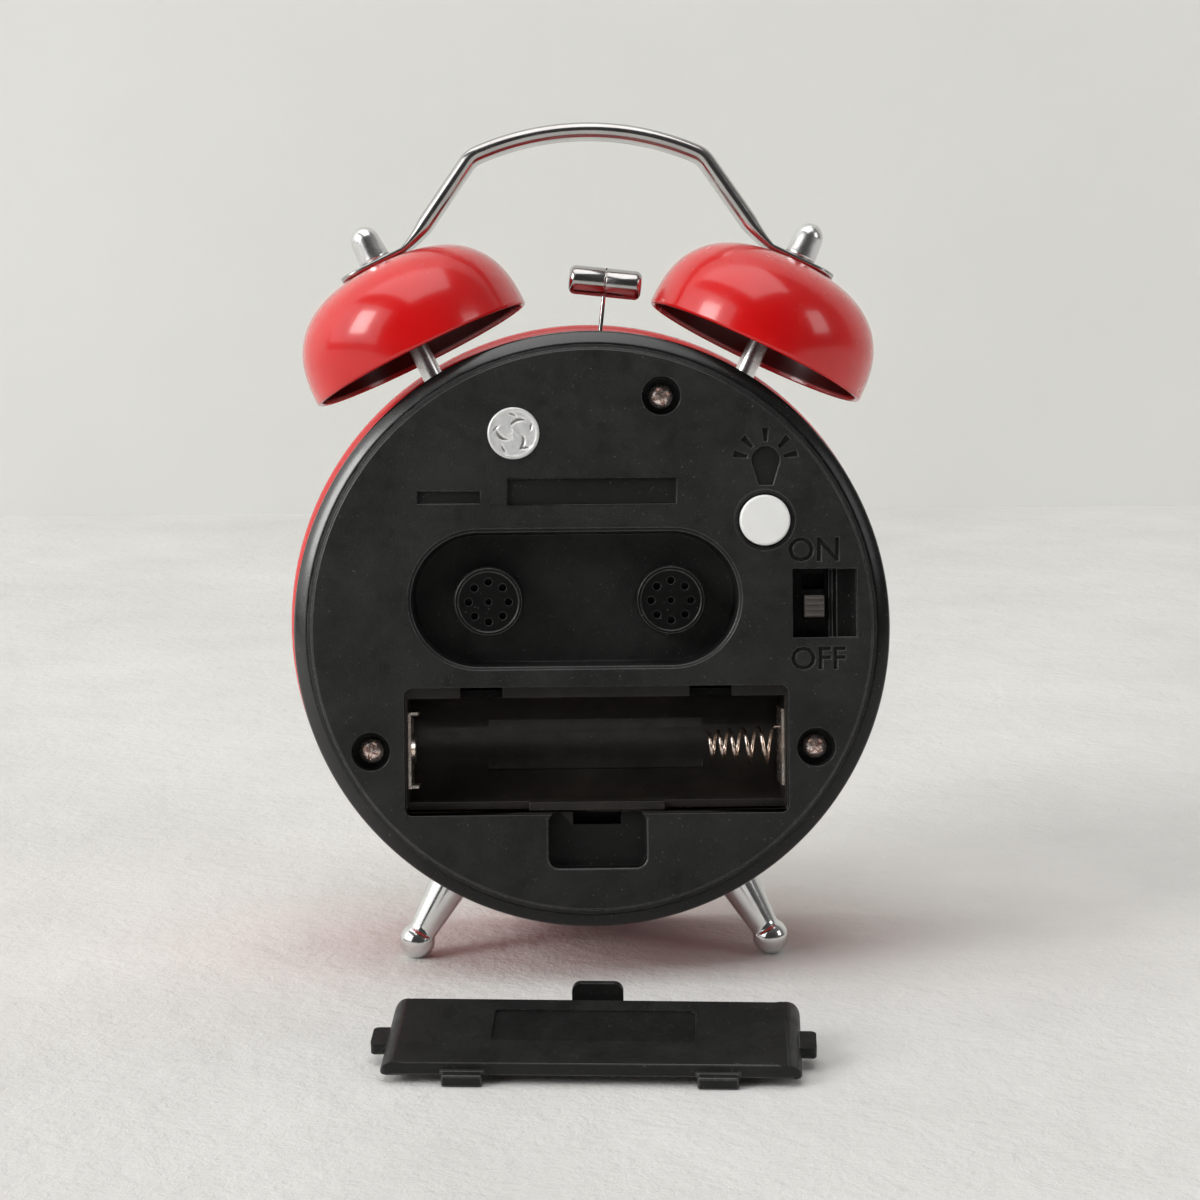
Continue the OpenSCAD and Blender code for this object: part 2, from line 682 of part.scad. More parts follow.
// Stations along one half of the handle, from the end of its tab under a cap nut, round the bend,
// up the leg, round the shoulder and along the arch.
// Each is a place on the bar's middle line, the direction of the outward side and a thickness.
tab_dir = 90 - bell_tilt;
function tab_place(u) = apex_at + (fit + tab_t / 2) * bell_dir + u * bell_out;
handle_half = concat(
    [for (u = [tab_out, 1.4 - tab_in]) [tab_place(u), tab_dir, tab_t]],
    [[bend_at, (tab_dir + leg_angle) / 2, bar_t]],
    [for (i = [0 : 6]) let (a = leg_angle + (90 - arch_half - leg_angle) * i / 6)
        [shoulder_c + shoulder_r * [cos(a), sin(a)], a, bar_t]],
    [for (i = [1 : 10]) let (a = 90 - arch_half + arch_half * i / 10)
        [[0, arch_c] + arch_r * [cos(a), sin(a)], a, bar_t]]);
handle_count = len(handle_half);
handle_line = concat(handle_half, [for (i = [2 : handle_count]) let (p = handle_half[handle_count - i])
    [[-p[0][0], p[0][1]], 180 - p[1], p[2]]]);

// Edge of the bar seen from behind, outward or inward of its middle line by a share of the half thickness
function handle_edge(share) = [for (p = handle_line) p[0] + share * p[2] / 2 * [cos(p[1]), sin(p[1])]];

// One layer of the bar: the layers step in from the middle of the bar to its rounded edges
module handle_layer(share, width) {
    outer = handle_edge(share);
    inner = handle_edge(-share);
    last = len(inner) - 1;
    slab(mid_y - width / 2, mid_y + width / 2)
        polygon(concat(outer, [for (i = [0 : last]) inner[last - i]]));
}

module handle() color(chrome) standing() difference() {
    for (a = [15, 45, 75]) handle_layer(cos(a), bar_w - bar_t * (1 - sin(a)));
    for (side = [-1, 1]) on_bell(side) {
        translate([0, 0, bell_h - 2]) cylinder(r = stud_r + 0.15, h = 6);
        difference() {
            end_x = side * (tab_out - bar_w / 2);
            translate([end_x + side * bar_w / 2, 0, bell_h + 0.5])
                cube([bar_w, 2 * bar_w, 3], center = true);
            translate([end_x, 0, bell_h - 2]) cylinder(r = bar_w / 2, h = 6);
        }
    }
}

// Feet

module foot(side) {
    skin = drum_r(mid_y);
    difference() {
        standing() difference() {
            on_foot(side) {
                translate([0, 0, skin - 2])
                    cylinder(r1 = foot_top_r, r2 = neck_r, h = foot_len - ball_r / 2 + 2);
                translate([0, 0, foot_dist]) sphere(r = ball_r);
                translate([0, 0, skin - 5]) cylinder(r = stud_r, h = 6);
            }
            difference() {
                drum_space(fit);
                on_foot(side) translate([0, 0, skin - 6]) cylinder(r = stud_r, h = 9);
            }
        }
        block(-through, through, -through, through, -through, 0);
    }
}

module foot_left() color(chrome) foot(-1);

module foot_right() color(chrome) foot(1);

// Battery contacts

bay_x0 = bay_at[0] - bay_l / 2;
bay_x1 = bay_at[0] + bay_l / 2;
contact_y = [seat_d + 0.6, bay_axis + 4.6];

module contact_positive() color(chrome) standing() {
    x0 = bay_x0 + fit;
    block(x0, x0 + contact_t, contact_y[0], contact_y[1],
        bay_at[1] - contact_h / 2, bay_at[1] + contact_h / 2);
    for (s = [-1, 1]) block(x0, x0 + 1.5, contact_y[0] + 1, contact_y[0] + 6,
        bay_at[1] + s * (contact_h - contact_t) / 2 - contact_t / 2,
        bay_at[1] + s * (contact_h - contact_t) / 2 + contact_t / 2);
    translate([x0, bay_axis, bay_at[1]]) rotate([0, 90, 0])
        cylinder(r1 = 2.6, r2 = 2.1, h = contact_t + 0.5);
}

spring_x = bay_x1 - fit - contact_t;

module contact_negative() color(chrome) standing()
    block(spring_x, spring_x + contact_t, contact_y[0], contact_y[1],
        bay_at[1] - contact_h / 2, bay_at[1] + contact_h / 2);

// Middle line of the contact spring: straight off its plate, then coils that narrow to the free end
coil_rings = 8;
coil_base = coil_d / 2 + 0.5;
coil_tip = (coil_d - wire_d) / 2;
coil_count = coil_turns * coil_rings;
function coil_point(i) =
    let (t = i / coil_count, a = 360 * i / coil_rings, r = coil_base + (coil_tip - coil_base) * t,
        along = (1.35 - 0.35 * t) * t)
    [spring_x - wire_d - (coil_len - 2 * wire_d) * along, bay_axis + r * sin(a), bay_at[1] + r * cos(a)];
coil_end = coil_point(coil_count);
coil_way = (coil_end - coil_point(coil_count - 1)) / norm(coil_end - coil_point(coil_count - 1));
spring_line = concat([[spring_x, bay_axis, bay_at[1] + coil_base]],
    [for (i = [0 : coil_count]) coil_point(i)], [coil_end + wire_d * coil_way]);
spring_last = len(spring_line) - 1;
spring_gap = min([for (i = [0 : spring_last - coil_rings + 2], j = [i + coil_rings - 2 : spring_last])
    norm(spring_line[i] - spring_line[j])]) - wire_d;
echo("contact spring, least gap to itself", spring_gap);

// Ring of points square to the spring's line at one of its points
function spring_ring(i, sides) =
    let (before = spring_line[max(i - 1, 0)], after = spring_line[min(i + 1, spring_last)],
        way = i == 0 ? [-1, 0, 0] : (after - before) / norm(after - before),
        out0 = spring_line[i] - [spring_line[i][0], bay_axis, bay_at[1]],
        out1 = out0 - (out0 * way) * way, out = out1 / norm(out1), up = cross(way, out))
    [for (k = [0 : sides - 1]) spring_line[i]
        + wire_d / 2 * (cos(360 * k / sides) * out + sin(360 * k / sides) * up)];

module contact_spring() color([0.8, 0.68, 0.56]) standing() {
    sides = 6;
    points = [for (i = [0 : spring_last]) each spring_ring(i, sides)];
    polyhedron(points, tube_faces(spring_last, sides));
}

// Movement

module movement_case() color([0.2, 0.2, 0.22]) standing() difference() {
    turned() polygon([[minute_ri, case_y0], [case_out, case_y0], [case_out, plate_y0 - fit],
        [case_in, plate_y0 - fit], [case_in, case_y0 + case_back], [minute_ri, case_y0 + case_back]]);
    for (at = [time_at, alarm_at]) rod(at, shaft_r + run, case_y0 - 1, case_y0 + case_back + 1);
    rod(motion_at, motion_arbor_r + fit, case_y0 - 1, case_y0 + case_back + 1);
}

module movement_plate() color([0.25, 0.25, 0.27]) standing() difference() {
    union() {
        rod([0, 0], case_out, plate_y0, frame_y1);
        rod([0, 0], bush_ro, plate_y0, dial_y1 + 0.4);
    }
    rod([0, 0], bush_ri, plate_y0 - 1, dial_y1 + 1);
    for (at = [time_at, alarm_at]) rod(at, shaft_tip_r + run, plate_y0 - 1, frame_y1 - 0.3);
    rod(motion_at, motion_arbor_r + fit, plate_y0 - 1, frame_y1 - 0.3);
}

module motion_arbor() color(chrome) standing()
    rod(motion_at, motion_arbor_r, case_y0, frame_y1 - 0.4);

// A hand drawn along its heading: clock_angle is counted from twelve as the dial is read
module hand(clock_angle, y, hub, bore, reach, width, tail) {
    rotate([0, -clock_angle, 0]) difference() {
        slab(y, y + hand_t) {
            circle(r = hub);
            polygon([[-width / 2, -tail], [width / 2, -tail], [width / 2, 0.6 * reach],
                [0.15, reach], [-0.15, reach], [-width / 2, 0.6 * reach]]);
        }
        rod([0, 0], bore + 0.01, y - 1, y + 2);
    }
}

// A tube about the axis of the hands
module tube(ri, ro, y0, y1) {
    turned() translate([ri, y0]) square([ro - ri, y1 - y0]);
}

module second_wheel() color(brass) standing() {
    rod([0, 0], second_r, case_y0 + 0.3, second_hand_y + hand_t);
    gear([0, 0], 40, 0.3, second_y, 0);
}

module second_hand() color(red) standing()
    hand(214, second_hand_y, 1.4, second_r, second_len, 0.7, 9);

module minute_wheel() color(white) standing() {
    tube(minute_ri, minute_ro, minute_y, minute_hand_y + hand_t);
    difference() {
        union() {
            gear([0, 0], minute_teeth, time_mod, minute_y, heading(time_at));
            gear([0, 0], cannon_teeth, motion_mod, cannon_y, heading(motion_at));
            rod([0, 0], 1.8, minute_y, cannon_y + gear_t);
        }
        rod([0, 0], minute_ri + tube_t / 2, minute_y - 1, cannon_y + gear_t + 1);
    }
}

module minute_hand() color(black) standing()
    hand(52, minute_hand_y, 1.9, minute_ro, minute_len, 1.8, 7);

module hour_wheel() color(white) standing() {
    tube(hour_ri, hour_ro, hour_y, hour_hand_y + hand_t);
    difference() {
        gear([0, 0], hour_teeth, hour_mod, hour_y, heading(motion_at));
        rod([0, 0], hour_ri + tube_t / 2, hour_y - 1, hour_y + gear_t + 1);
    }
}

module hour_hand() color(black) standing()
    hand(304, hour_hand_y, 2.4, hour_ro, hour_len, 2.4, 5);

module alarm_wheel() color(white) standing() {
    tube(alarm_ri, alarm_ro, alarm_y, alarm_hand_y + hand_t);
    difference() {
        gear([0, 0], alarm_teeth, alarm_mod, alarm_y, heading(alarm_at));
        rod([0, 0], alarm_ri + tube_t / 2, alarm_y - 1, alarm_y + gear_t + 1);
    }
}

module alarm_hand() color(red) standing()
    hand(195, alarm_hand_y, 3, alarm_ro, alarm_len, 1.5, 3);

module motion_wheel() color(white) standing() difference() {
    union() {
        gear(motion_at, motion_teeth, motion_mod, cannon_y, heading(-motion_at), true);
        gear(motion_at, pinion_teeth, hour_mod, hour_y, heading(-motion_at), true);
        rod(motion_at, 1.3, cannon_y, hour_y + gear_t);
    }
    rod(motion_at, motion_arbor_r + run, cannon_y - 1, hour_y + gear_t + 1);
}

// Setting shafts and knobs

// A shaft from a knob to the front plate with its pinion
module setting_shaft(at, teeth, mod, y) {
    rod(at, shaft_r, knob_y0 + 2.5, y + gear_t);
    rod(at, shaft_tip_r, y, frame_y1 - 0.5);
    gear(at, teeth, mod, y, heading(-at), true);
}

module time_shaft() color(white) standing() setting_shaft(time_at, time_teeth, time_mod, minute_y);

module alarm_shaft() color(white) standing() setting_shaft(alarm_at, set_teeth, alarm_mod, alarm_y);

module knob(at) {
    difference() {
        turned_at(at) polygon([[0, knob_y0 + 0.15], [knob_r - 0.75, knob_y0 + 0.15],
            [knob_r - 0.65, knob_y0], [knob_r - 0.25, knob_y0], [knob_r, knob_y0 + 0.25],
            [knob_r, knob_y1], [0, knob_y1]]);
        rod(at, shaft_r + fit, knob_y0 + 2.4, knob_y1 + 1);
        rod(at, grip_r * 0.85, knob_y0 - 1, knob_y0 + 1.4);
        for (i = [0 : 7]) rod(at + 0.57 * knob_r * [cos(45 * i), sin(45 * i)], grip_r,
            knob_y0 - 1, knob_y0 + 1.4);
    }
}

module time_knob() color(black) standing() knob(time_at);

module alarm_knob() color(black) standing() knob(alarm_at);

// Light button, its switch on the control board, and the dial lamp

module light_button() color(white) standing() {
    turned_at(button_at) polygon(concat([[0, -button_proud]],
        arc([button_r - 0.4, 0.4 - button_proud], 0.4, -90, 0, 4),
        [[button_r, flange_y], [button_r + 0.9, flange_y], [button_r + 0.9, flange_y + flange_t],
        [plunger_r, flange_y + flange_t], [plunger_r, tact_y + 0.1], [0, tact_y + 0.1]]));
}

module light_switch() color(black) standing() difference() {
    block(button_at[0] - 3, button_at[0] + 3, tact_y, board_y0 - fit, button_at[1] - 3, button_at[1] + 3);
    rod(button_at, plunger_r + slide, tact_y - 1, board_y0 + 1);
}

module control_board() color([0.1, 0.35, 0.18]) standing() difference() {
    block(board_x[0], board_x[1], board_y0, board_y0 + board_t, board_z[0], board_z[1]);
    for (at = board_pegs) rod(at, 0.7 + fit, board_y0 - 1, board_y0 + board_t + 1);
}

module dial_lamp() color([0.95, 0.9, 0.7]) standing() turned_at(lamp_at)
    polygon(concat([[0, frame_y1 - 3], [lamp_r, frame_y1 - 3], [lamp_r, dial_y1]],
        [for (p = arc([0, 0], lamp_r, 0, 90, 6)) [p[0], dial_y1 + p[1]]]));

// Alarm switch

nub = [3, 3.3];
sled = [4.6, 5];
sled_y = window_d + fit + 1.4;

module switch_body() color(black) standing() difference() {
    block(window_x[0] - 0.4, window_x[1] + 0.8, window_d + fit, window_d + fit + 4.6,
        window_z[0] - 1.2, window_z[1] + 1.4);
    block(switch_at[0] - nub[0] / 2 - slide, switch_at[0] + nub[0] / 2 + slide, window_d - 1, sled_y + 1,
        switch_at[1] - nub[1] / 2 - slide, switch_at[1] + nub[1] / 2 + switch_travel + slide);
    block(switch_at[0] - sled[0] / 2 - slide, switch_at[0] + sled[0] / 2 + slide, sled_y, sled_y + 2,
        switch_at[1] - sled[1] / 2 - slide, switch_at[1] + sled[1] / 2 + switch_travel + slide);
}

module switch_slider() color([0.16, 0.16, 0.17]) standing() translate([switch_at[0], 0, switch_at[1]]) {
    block(-nub[0] / 2, nub[0] / 2, 1.4, sled_y + slide + 0.5, -nub[1] / 2, nub[1] / 2);
    block(-sled[0] / 2, sled[0] / 2, sled_y + slide, sled_y + 2 - slide, -sled[1] / 2, sled[1] / 2);
}

// Alarm striker

module alarm_motor() color(chrome) standing() difference() {
    union() {
        rod([0, motor_z], motor_r, motor_y0, bracket_y0 - fit);
        rod([0, motor_z], 1.6, motor_y0 - 0.8, motor_y0);
        rod([0, motor_z], 1.4, bracket_y0 - 1, bracket_y0 + 0.6);
    }
    rod([0, motor_z], 0.5 + run, motor_y0 + 1, bracket_y0 + 1);
}

module motor_eccentric() color(brass) standing() {
    rod([0, motor_z], 0.5, motor_y0 + 2, mid_y + lever_t / 2);
    rod([0, motor_z - cam_off], cam_r, bracket_y1 + 0.4, mid_y + lever_t / 2);
}

module hammer_bracket() color(chrome) standing() difference() {
    slab(bracket_y0, bracket_y1) {
        polygon([[-bracket_half, bracket_z[0]], [bracket_half, bracket_z[0]], [bracket_half, bracket_z[1]],
            [6, bracket_z[1]], [5, bracket_z[2]], [-5, bracket_z[2]], [-6, bracket_z[1]],
            [-bracket_half, bracket_z[1]]]);
    }
    rod([0, motor_z], 1.4 + fit, bracket_y0 - 1, bracket_y1 + 1);
    rod([0, pivot_z], pin_r + fit, bracket_y0 - 1, bracket_y1 + 1);
    for (s = [-1, 1]) rod([s * bracket_post[0], bracket_post[1]], 1, bracket_y0 - 1, bracket_y1 + 1);
}

module bracket_screws() color(brass) standing() for (s = [-1, 1]) {
    rod([s * bracket_post[0], bracket_post[1]], 1.7, bracket_y1 + fit, bracket_y1 + 1);
    rod([s * bracket_post[0], bracket_post[1]], 0.85, bracket_y0 - 5, bracket_y1 + 0.5);
}

module hammer_pivot() color(chrome) standing() {
    rod([0, pivot_z], pin_r, bracket_y0, mid_y + lever_t / 2 + 0.7);
    rod([0, pivot_z], pin_r + 0.8, mid_y + lever_t / 2 + 0.3, mid_y + lever_t / 2 + 0.7);
}

// Puts its children on the hammer's pivot, leaning as the hammer comes to rest
module on_hammer() {
    translate([0, 0, pivot_z]) rotate([0, hammer_rest, 0]) children();
}

module hammer_lever() color(chrome) standing() on_hammer() difference() {
    slab(mid_y - lever_t / 2, mid_y + lever_t / 2) {
        circle(r = 2.6);
        translate([-lever_w / 2, 0]) square([lever_w, lever_up]);
        translate([-fork_half - prong_w, -3.2]) square([2 * (fork_half + prong_w), 2]);
        for (s = [-1, 1]) translate([s * (fork_half + prong_w / 2) - prong_w / 2, -11])
            square([prong_w, 9]);
    }
    rod([0, 0], pin_r + run, 0, through);
    translate([0, mid_y, 2.9]) cylinder(r = hammer_wire_r + fit, h = 4);
}

module hammer_wire() color(chrome) standing() on_hammer()
    translate([0, mid_y, 3]) cylinder(r = hammer_wire_r, h = hammer_len + head_d / 2 - 3);

module hammer_head() color(chrome) standing() on_hammer() translate([0, mid_y, hammer_len]) difference() {
    half = head_len / 2;
    r = head_d / 2;
    round_r = 1.1;
    rotate([0, 90, 0]) rotate_extrude() polygon(concat([[0, -half]],
        arc([r - round_r, round_r - half], round_r, -90, 0, 5),
        [[r, -0.3], [r - 0.25, -0.2], [r - 0.25, 0.2], [r, 0.3]],
        arc([r - round_r, half - round_r], round_r, 0, 90, 5), [[0, half]]));
    translate([0, 0, -head_d]) cylinder(r = hammer_wire_r + fit, h = 2 * head_d);
}

// Battery cover, lying on its hinge tabs and its latch with the outer face up

module lid_shape() {
    edge_r = lid_t;
    difference() {
        union() {
            translate([0, lid_w / 2, -lid_t]) linear_extrude(lid_t)
                round_rect(lid_l - 2 * edge_r, lid_w, 0.8);
            for (s = [-1, 1]) intersection() {
                translate([s * (lid_l / 2 - edge_r), 0, -edge_r]) rotate([-90, 0, 0])
                    cylinder(r = edge_r, h = lid_w);
                translate([0, lid_w / 2, -lid_t]) linear_extrude(lid_t) round_rect(lid_l, lid_w, 1.1);
            }
            for (s = [-1, 1]) {
                block(s * notch_x - lid_tab_w / 2, s * notch_x + lid_tab_w / 2,
                    -lid_tab_out, 3, lid_tab_z, -lid_skin);
                translate([s * (lid_l / 2 - 1), lid_w / 2, -lid_t - 0.6]) linear_extrude(1.6)
                    round_rect(2 * (lid_ear + 1), 5, 0.8);
            }
            block(-lid_latch_w / 2, lid_latch_w / 2, lid_w - 1.2, lid_w + 1, -lid_t, -lid_t + 1);
            block(-lid_latch_w / 2, lid_latch_w / 2, lid_w, lid_w + 1, lid_latch_z, -lid_t + 0.5);
            block(-lid_latch_w / 2, lid_latch_w / 2, lid_w, lid_w + lid_latch_out,
                lid_latch_z, lid_latch_z + 1);
            translate([0, 0, (lid_latch_z + lid_latch_top) / 2])
                slab(lid_w + lid_latch_out - 1, lid_w + lid_latch_out)
                    round_rect(lid_latch_w, lid_latch_top - lid_latch_z, 1.4);
        }
        translate([0, lid_w / 2, -lid_t - 1]) linear_extrude(lid_t - lid_skin + 1)
            round_rect(lid_l - 5, lid_w - 6.4, 1);
        translate([0, lid_w - 7.6, -0.3]) linear_extrude(1) round_rect(28, 9, 0.6);
    }
}

module battery_cover() color(black)
    translate([lid_side, stand_y + lid_y0, -lid_low]) rotate([0, 0, -lid_turn]) rotate([lid_tilt, 0, 0])
        lid_shape();

drum();
bezel();
lens();
dial();
dial_ring();
chassis();
back_cover();
cover_screws();
foil_seal();
bell_left();
bell_right();
bell_posts();
bell_nuts();
inner_nuts();
handle();
foot_left();
foot_right();
contact_positive();
contact_negative();
contact_spring();
movement_case();
movement_plate();
motion_arbor();
control_board();
light_switch();
switch_body();
dial_lamp();
alarm_motor();
hammer_bracket();
bracket_screws();
hammer_pivot();
second_wheel();
second_hand();
minute_wheel();
minute_hand();
hour_wheel();
hour_hand();
alarm_wheel();
alarm_hand();
motion_wheel();
time_knob();
time_shaft();
alarm_knob();
alarm_shaft();
light_button();
switch_slider();
motor_eccentric();
hammer_lever();
hammer_wire();
hammer_head();
battery_cover();
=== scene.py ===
"""Looks of a twin-bell alarm clock, seen from behind with its battery cover off."""
import json
import math

import bmesh
import bpy
from mathutils import Matrix, Vector


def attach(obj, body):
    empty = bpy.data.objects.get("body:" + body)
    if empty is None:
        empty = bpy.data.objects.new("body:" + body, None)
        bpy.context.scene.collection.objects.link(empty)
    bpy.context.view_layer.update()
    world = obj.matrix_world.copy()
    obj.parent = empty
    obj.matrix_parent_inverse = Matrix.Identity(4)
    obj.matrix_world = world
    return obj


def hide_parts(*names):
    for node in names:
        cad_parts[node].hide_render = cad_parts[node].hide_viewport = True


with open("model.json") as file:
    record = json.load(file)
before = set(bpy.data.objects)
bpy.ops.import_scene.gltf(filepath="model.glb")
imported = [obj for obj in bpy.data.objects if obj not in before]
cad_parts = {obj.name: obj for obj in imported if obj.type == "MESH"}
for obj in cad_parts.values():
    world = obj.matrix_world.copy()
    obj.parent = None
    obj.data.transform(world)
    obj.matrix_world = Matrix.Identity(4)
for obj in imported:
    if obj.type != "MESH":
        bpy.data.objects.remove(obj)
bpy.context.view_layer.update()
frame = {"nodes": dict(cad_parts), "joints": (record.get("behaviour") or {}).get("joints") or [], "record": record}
nodes = frame["nodes"]

# The clock's own frame, in millimetres: X to the right seen from behind, Y from the back panel
# to the dial, Z up from the axis of the hands. It is worked out from the minute hand's joint,
# which lies at the depth of the bells, the handle, the hammer and the feet.
MM = 0.001
MID_Y = 17.0
minute_joint = next(joint for joint in frame["joints"] if joint["name"] == "minute_spin")
FORWARD = Vector(minute_joint["axis"]).normalized()
ACROSS = Vector((1, 0, 0))
UP = ACROSS.cross(FORWARD)
ORIGIN = Vector(minute_joint["pos_m"]) - MID_Y * MM * FORWARD
LEAN = Matrix((ACROSS, FORWARD, UP)).transposed().to_4x4()
CLOCK = Matrix.Translation(ORIGIN) @ LEAN @ Matrix.Scale(MM, 4)
INWARD = CLOCK.inverted()


def put(name, data):
    """A new object in the scene."""
    thing = bpy.data.objects.new(name, data)
    bpy.context.scene.collection.objects.link(thing)
    return thing


# Camera: where the photograph was taken from and which way it looks, in the clock's own frame
CAMERA_AT = (-6, -415, 13)
CAMERA_WAY = (0.0172, 1, -0.0206)
CAMERA_ROLL = math.radians(0.55)
PHOTO_SIZE = 1200
FOCAL_PIXELS = 2767
SENSOR = 36
NEAREST = 0.01


def make_camera():
    """Camera at the photograph's viewing angle."""
    data = bpy.data.cameras.new("photo_camera")
    data.sensor_width = SENSOR
    data.lens = SENSOR * FOCAL_PIXELS / PHOTO_SIZE
    data.clip_start = NEAREST
    camera = put("photo_camera", data)
    way = (CLOCK.to_3x3() @ Vector(CAMERA_WAY)).normalized()
    right = way.cross(UP).normalized()
    up = right.cross(way)
    turn = Matrix.Rotation(CAMERA_ROLL, 3, way)
    camera.matrix_world = (Matrix.Translation(CLOCK @ Vector(CAMERA_AT))
                           @ Matrix((turn @ right, turn @ up, -way)).transposed().to_4x4())
    bpy.context.scene.camera = camera


# Lamps, in metres and watts: place, aim, size, power and colour
WHITE = (1, 1, 1)
LAMPS = {
    "window": ((-3.04, -1.6, 1.8), (0, 0, 0.07), (1.36, 1.68), 56.3, (1, 0.995, 0.98)),
    "room_side": ((-2.72, -1.12, 1.48), (0, 0, 0.07), (3.84, 2.4), 38.4, WHITE),
    "fill": ((2.0, -1.0, 1.0), (0, 0, 0.06), (0.8, 1.0), 6.0, WHITE),
    "top": ((-0.3, -0.1, 2.4), (0, 0.1, 0.05), (3.0, 2.0), 37.0, WHITE),
}
# Surround: its colour, and its strength from behind the viewer to the far side
SURROUND = (0.84, 0.835, 0.82, 1)
SURROUND_LEVEL = {"From Min": -0.9, "From Max": 0.3, "To Min": 0.06, "To Max": 0.30}


def area_light(name, at, aim, size, power, colour):
    """A soft rectangular lamp that points at a place."""
    data = bpy.data.lights.new(name, "AREA")
    data.shape = "RECTANGLE"
    data.size, data.size_y = size
    data.energy = power
    data.color = colour
    lamp = put(name, data)
    lamp.location = at
    lamp.rotation_euler = (Vector(aim) - Vector(at)).to_track_quat("-Z", "Y").to_euler()


def make_light():
    """A window and a pale room side on the left, a weak fill on the right, a soft top, a dim surround."""
    for name, values in LAMPS.items():
        area_light(name, *values)
    world = bpy.data.worlds.new("surround")
    bpy.context.scene.world = world
    world.use_nodes = True
    tree = world.node_tree
    back = tree.nodes["Background"]
    back.inputs["Color"].default_value = SURROUND
    way = tree.nodes.new("ShaderNodeTexCoord")
    parts = tree.nodes.new("ShaderNodeSeparateXYZ")
    level = tree.nodes.new("ShaderNodeMapRange")
    for name, value in SURROUND_LEVEL.items():
        level.inputs[name].default_value = value
    tree.links.new(way.outputs["Generated"], parts.inputs["Vector"])
    tree.links.new(parts.outputs["Y"], level.inputs["Value"])
    tree.links.new(level.outputs["Result"], back.inputs["Strength"])


# Parts of a material

def new_material(name, **sockets):
    """A material with one Principled shader, whose constant values are set on its own sockets."""
    mat = bpy.data.materials.new(name)
    mat.use_nodes = True
    shader = mat.node_tree.nodes["Principled BSDF"]
    for key, value in sockets.items():
        shader.inputs[key.replace("_", " ")].default_value = value
    return mat


def noise(mat, scale, detail=3.0, rough=0.55, distort=0.0):
    """A noise texture over the object's own coordinates, in metres."""
    tree = mat.node_tree
    coord = tree.nodes.new("ShaderNodeTexCoord")
    tex = tree.nodes.new("ShaderNodeTexNoise")
    tex.inputs["Scale"].default_value = scale
    tex.inputs["Detail"].default_value = detail
    tex.inputs["Roughness"].default_value = rough
    tex.inputs["Distortion"].default_value = distort
    tree.links.new(coord.outputs["Object"], tex.inputs["Vector"])
    return tex.outputs["Fac"]


def ramp(mat, value, start, low, end, high):
    """A colour that goes from a low shade at one value to a high shade at another."""
    node = mat.node_tree.nodes.new("ShaderNodeValToRGB")
    for element, position, colour in zip(node.color_ramp.elements, (start, end), (low, high)):
        element.position = position
        element.color = (*colour, 1)
    mat.node_tree.links.new(value, node.inputs["Fac"])
    return node.outputs["Color"]


def spread(mat, value, low, high, start=0.3, end=0.7):
    """A value mapped from a range of the noise to a range of the socket."""
    node = mat.node_tree.nodes.new("ShaderNodeMapRange")
    node.inputs["From Min"].default_value = start
    node.inputs["From Max"].default_value = end
    node.inputs["To Min"].default_value = low
    node.inputs["To Max"].default_value = high
    mat.node_tree.links.new(value, node.inputs["Value"])
    return node.outputs["Result"]


def feed(mat, socket, value):
    """Links a varying value to a socket of the shader."""
    mat.node_tree.links.new(value, mat.node_tree.nodes["Principled BSDF"].inputs[socket])


def bump(mat, value, distance, strength, under=None):
    """Bump from a height value, with its depth in metres, on top of another bump."""
    node = mat.node_tree.nodes.new("ShaderNodeBump")
    node.inputs["Distance"].default_value = distance
    node.inputs["Strength"].default_value = strength
    mat.node_tree.links.new(value, node.inputs["Height"])
    if under:
        mat.node_tree.links.new(under, node.inputs["Normal"])
    feed(mat, "Normal", node.outputs["Normal"])
    return node.outputs["Normal"]


def dusted(mat, colour, share, dust):
    """A colour with dust of one shade over a share of it."""
    node = mat.node_tree.nodes.new("ShaderNodeMix")
    node.data_type = "RGBA"
    mat.node_tree.links.new(share, node.inputs["Factor"])
    clean, dusty = (socket for socket in node.inputs if socket.type == "RGBA")
    mat.node_tree.links.new(colour, clean)
    dusty.default_value = (*dust, 1)
    return next(socket for socket in node.outputs if socket.type == "RGBA")


# Materials. Red enamels: darker shade, lighter shade and weight of the clear coat
REDS = {
    "red_paint": ((0.60, 0.003, 0.004), (0.70, 0.005, 0.006), 0.55),
    # The drum's red is a darker copy of the bells' red: painted shade for a case whose underside is out of the
    # light
    "case_red": ((0.38, 0.002, 0.003), (0.45, 0.003, 0.004), 0.4),
    # The bells' inside: the same enamel painted darker, a painted shade for the hollow under each bell
    "inner_red": ((0.09, 0.002, 0.002), (0.14, 0.003, 0.003), 0.0),
}
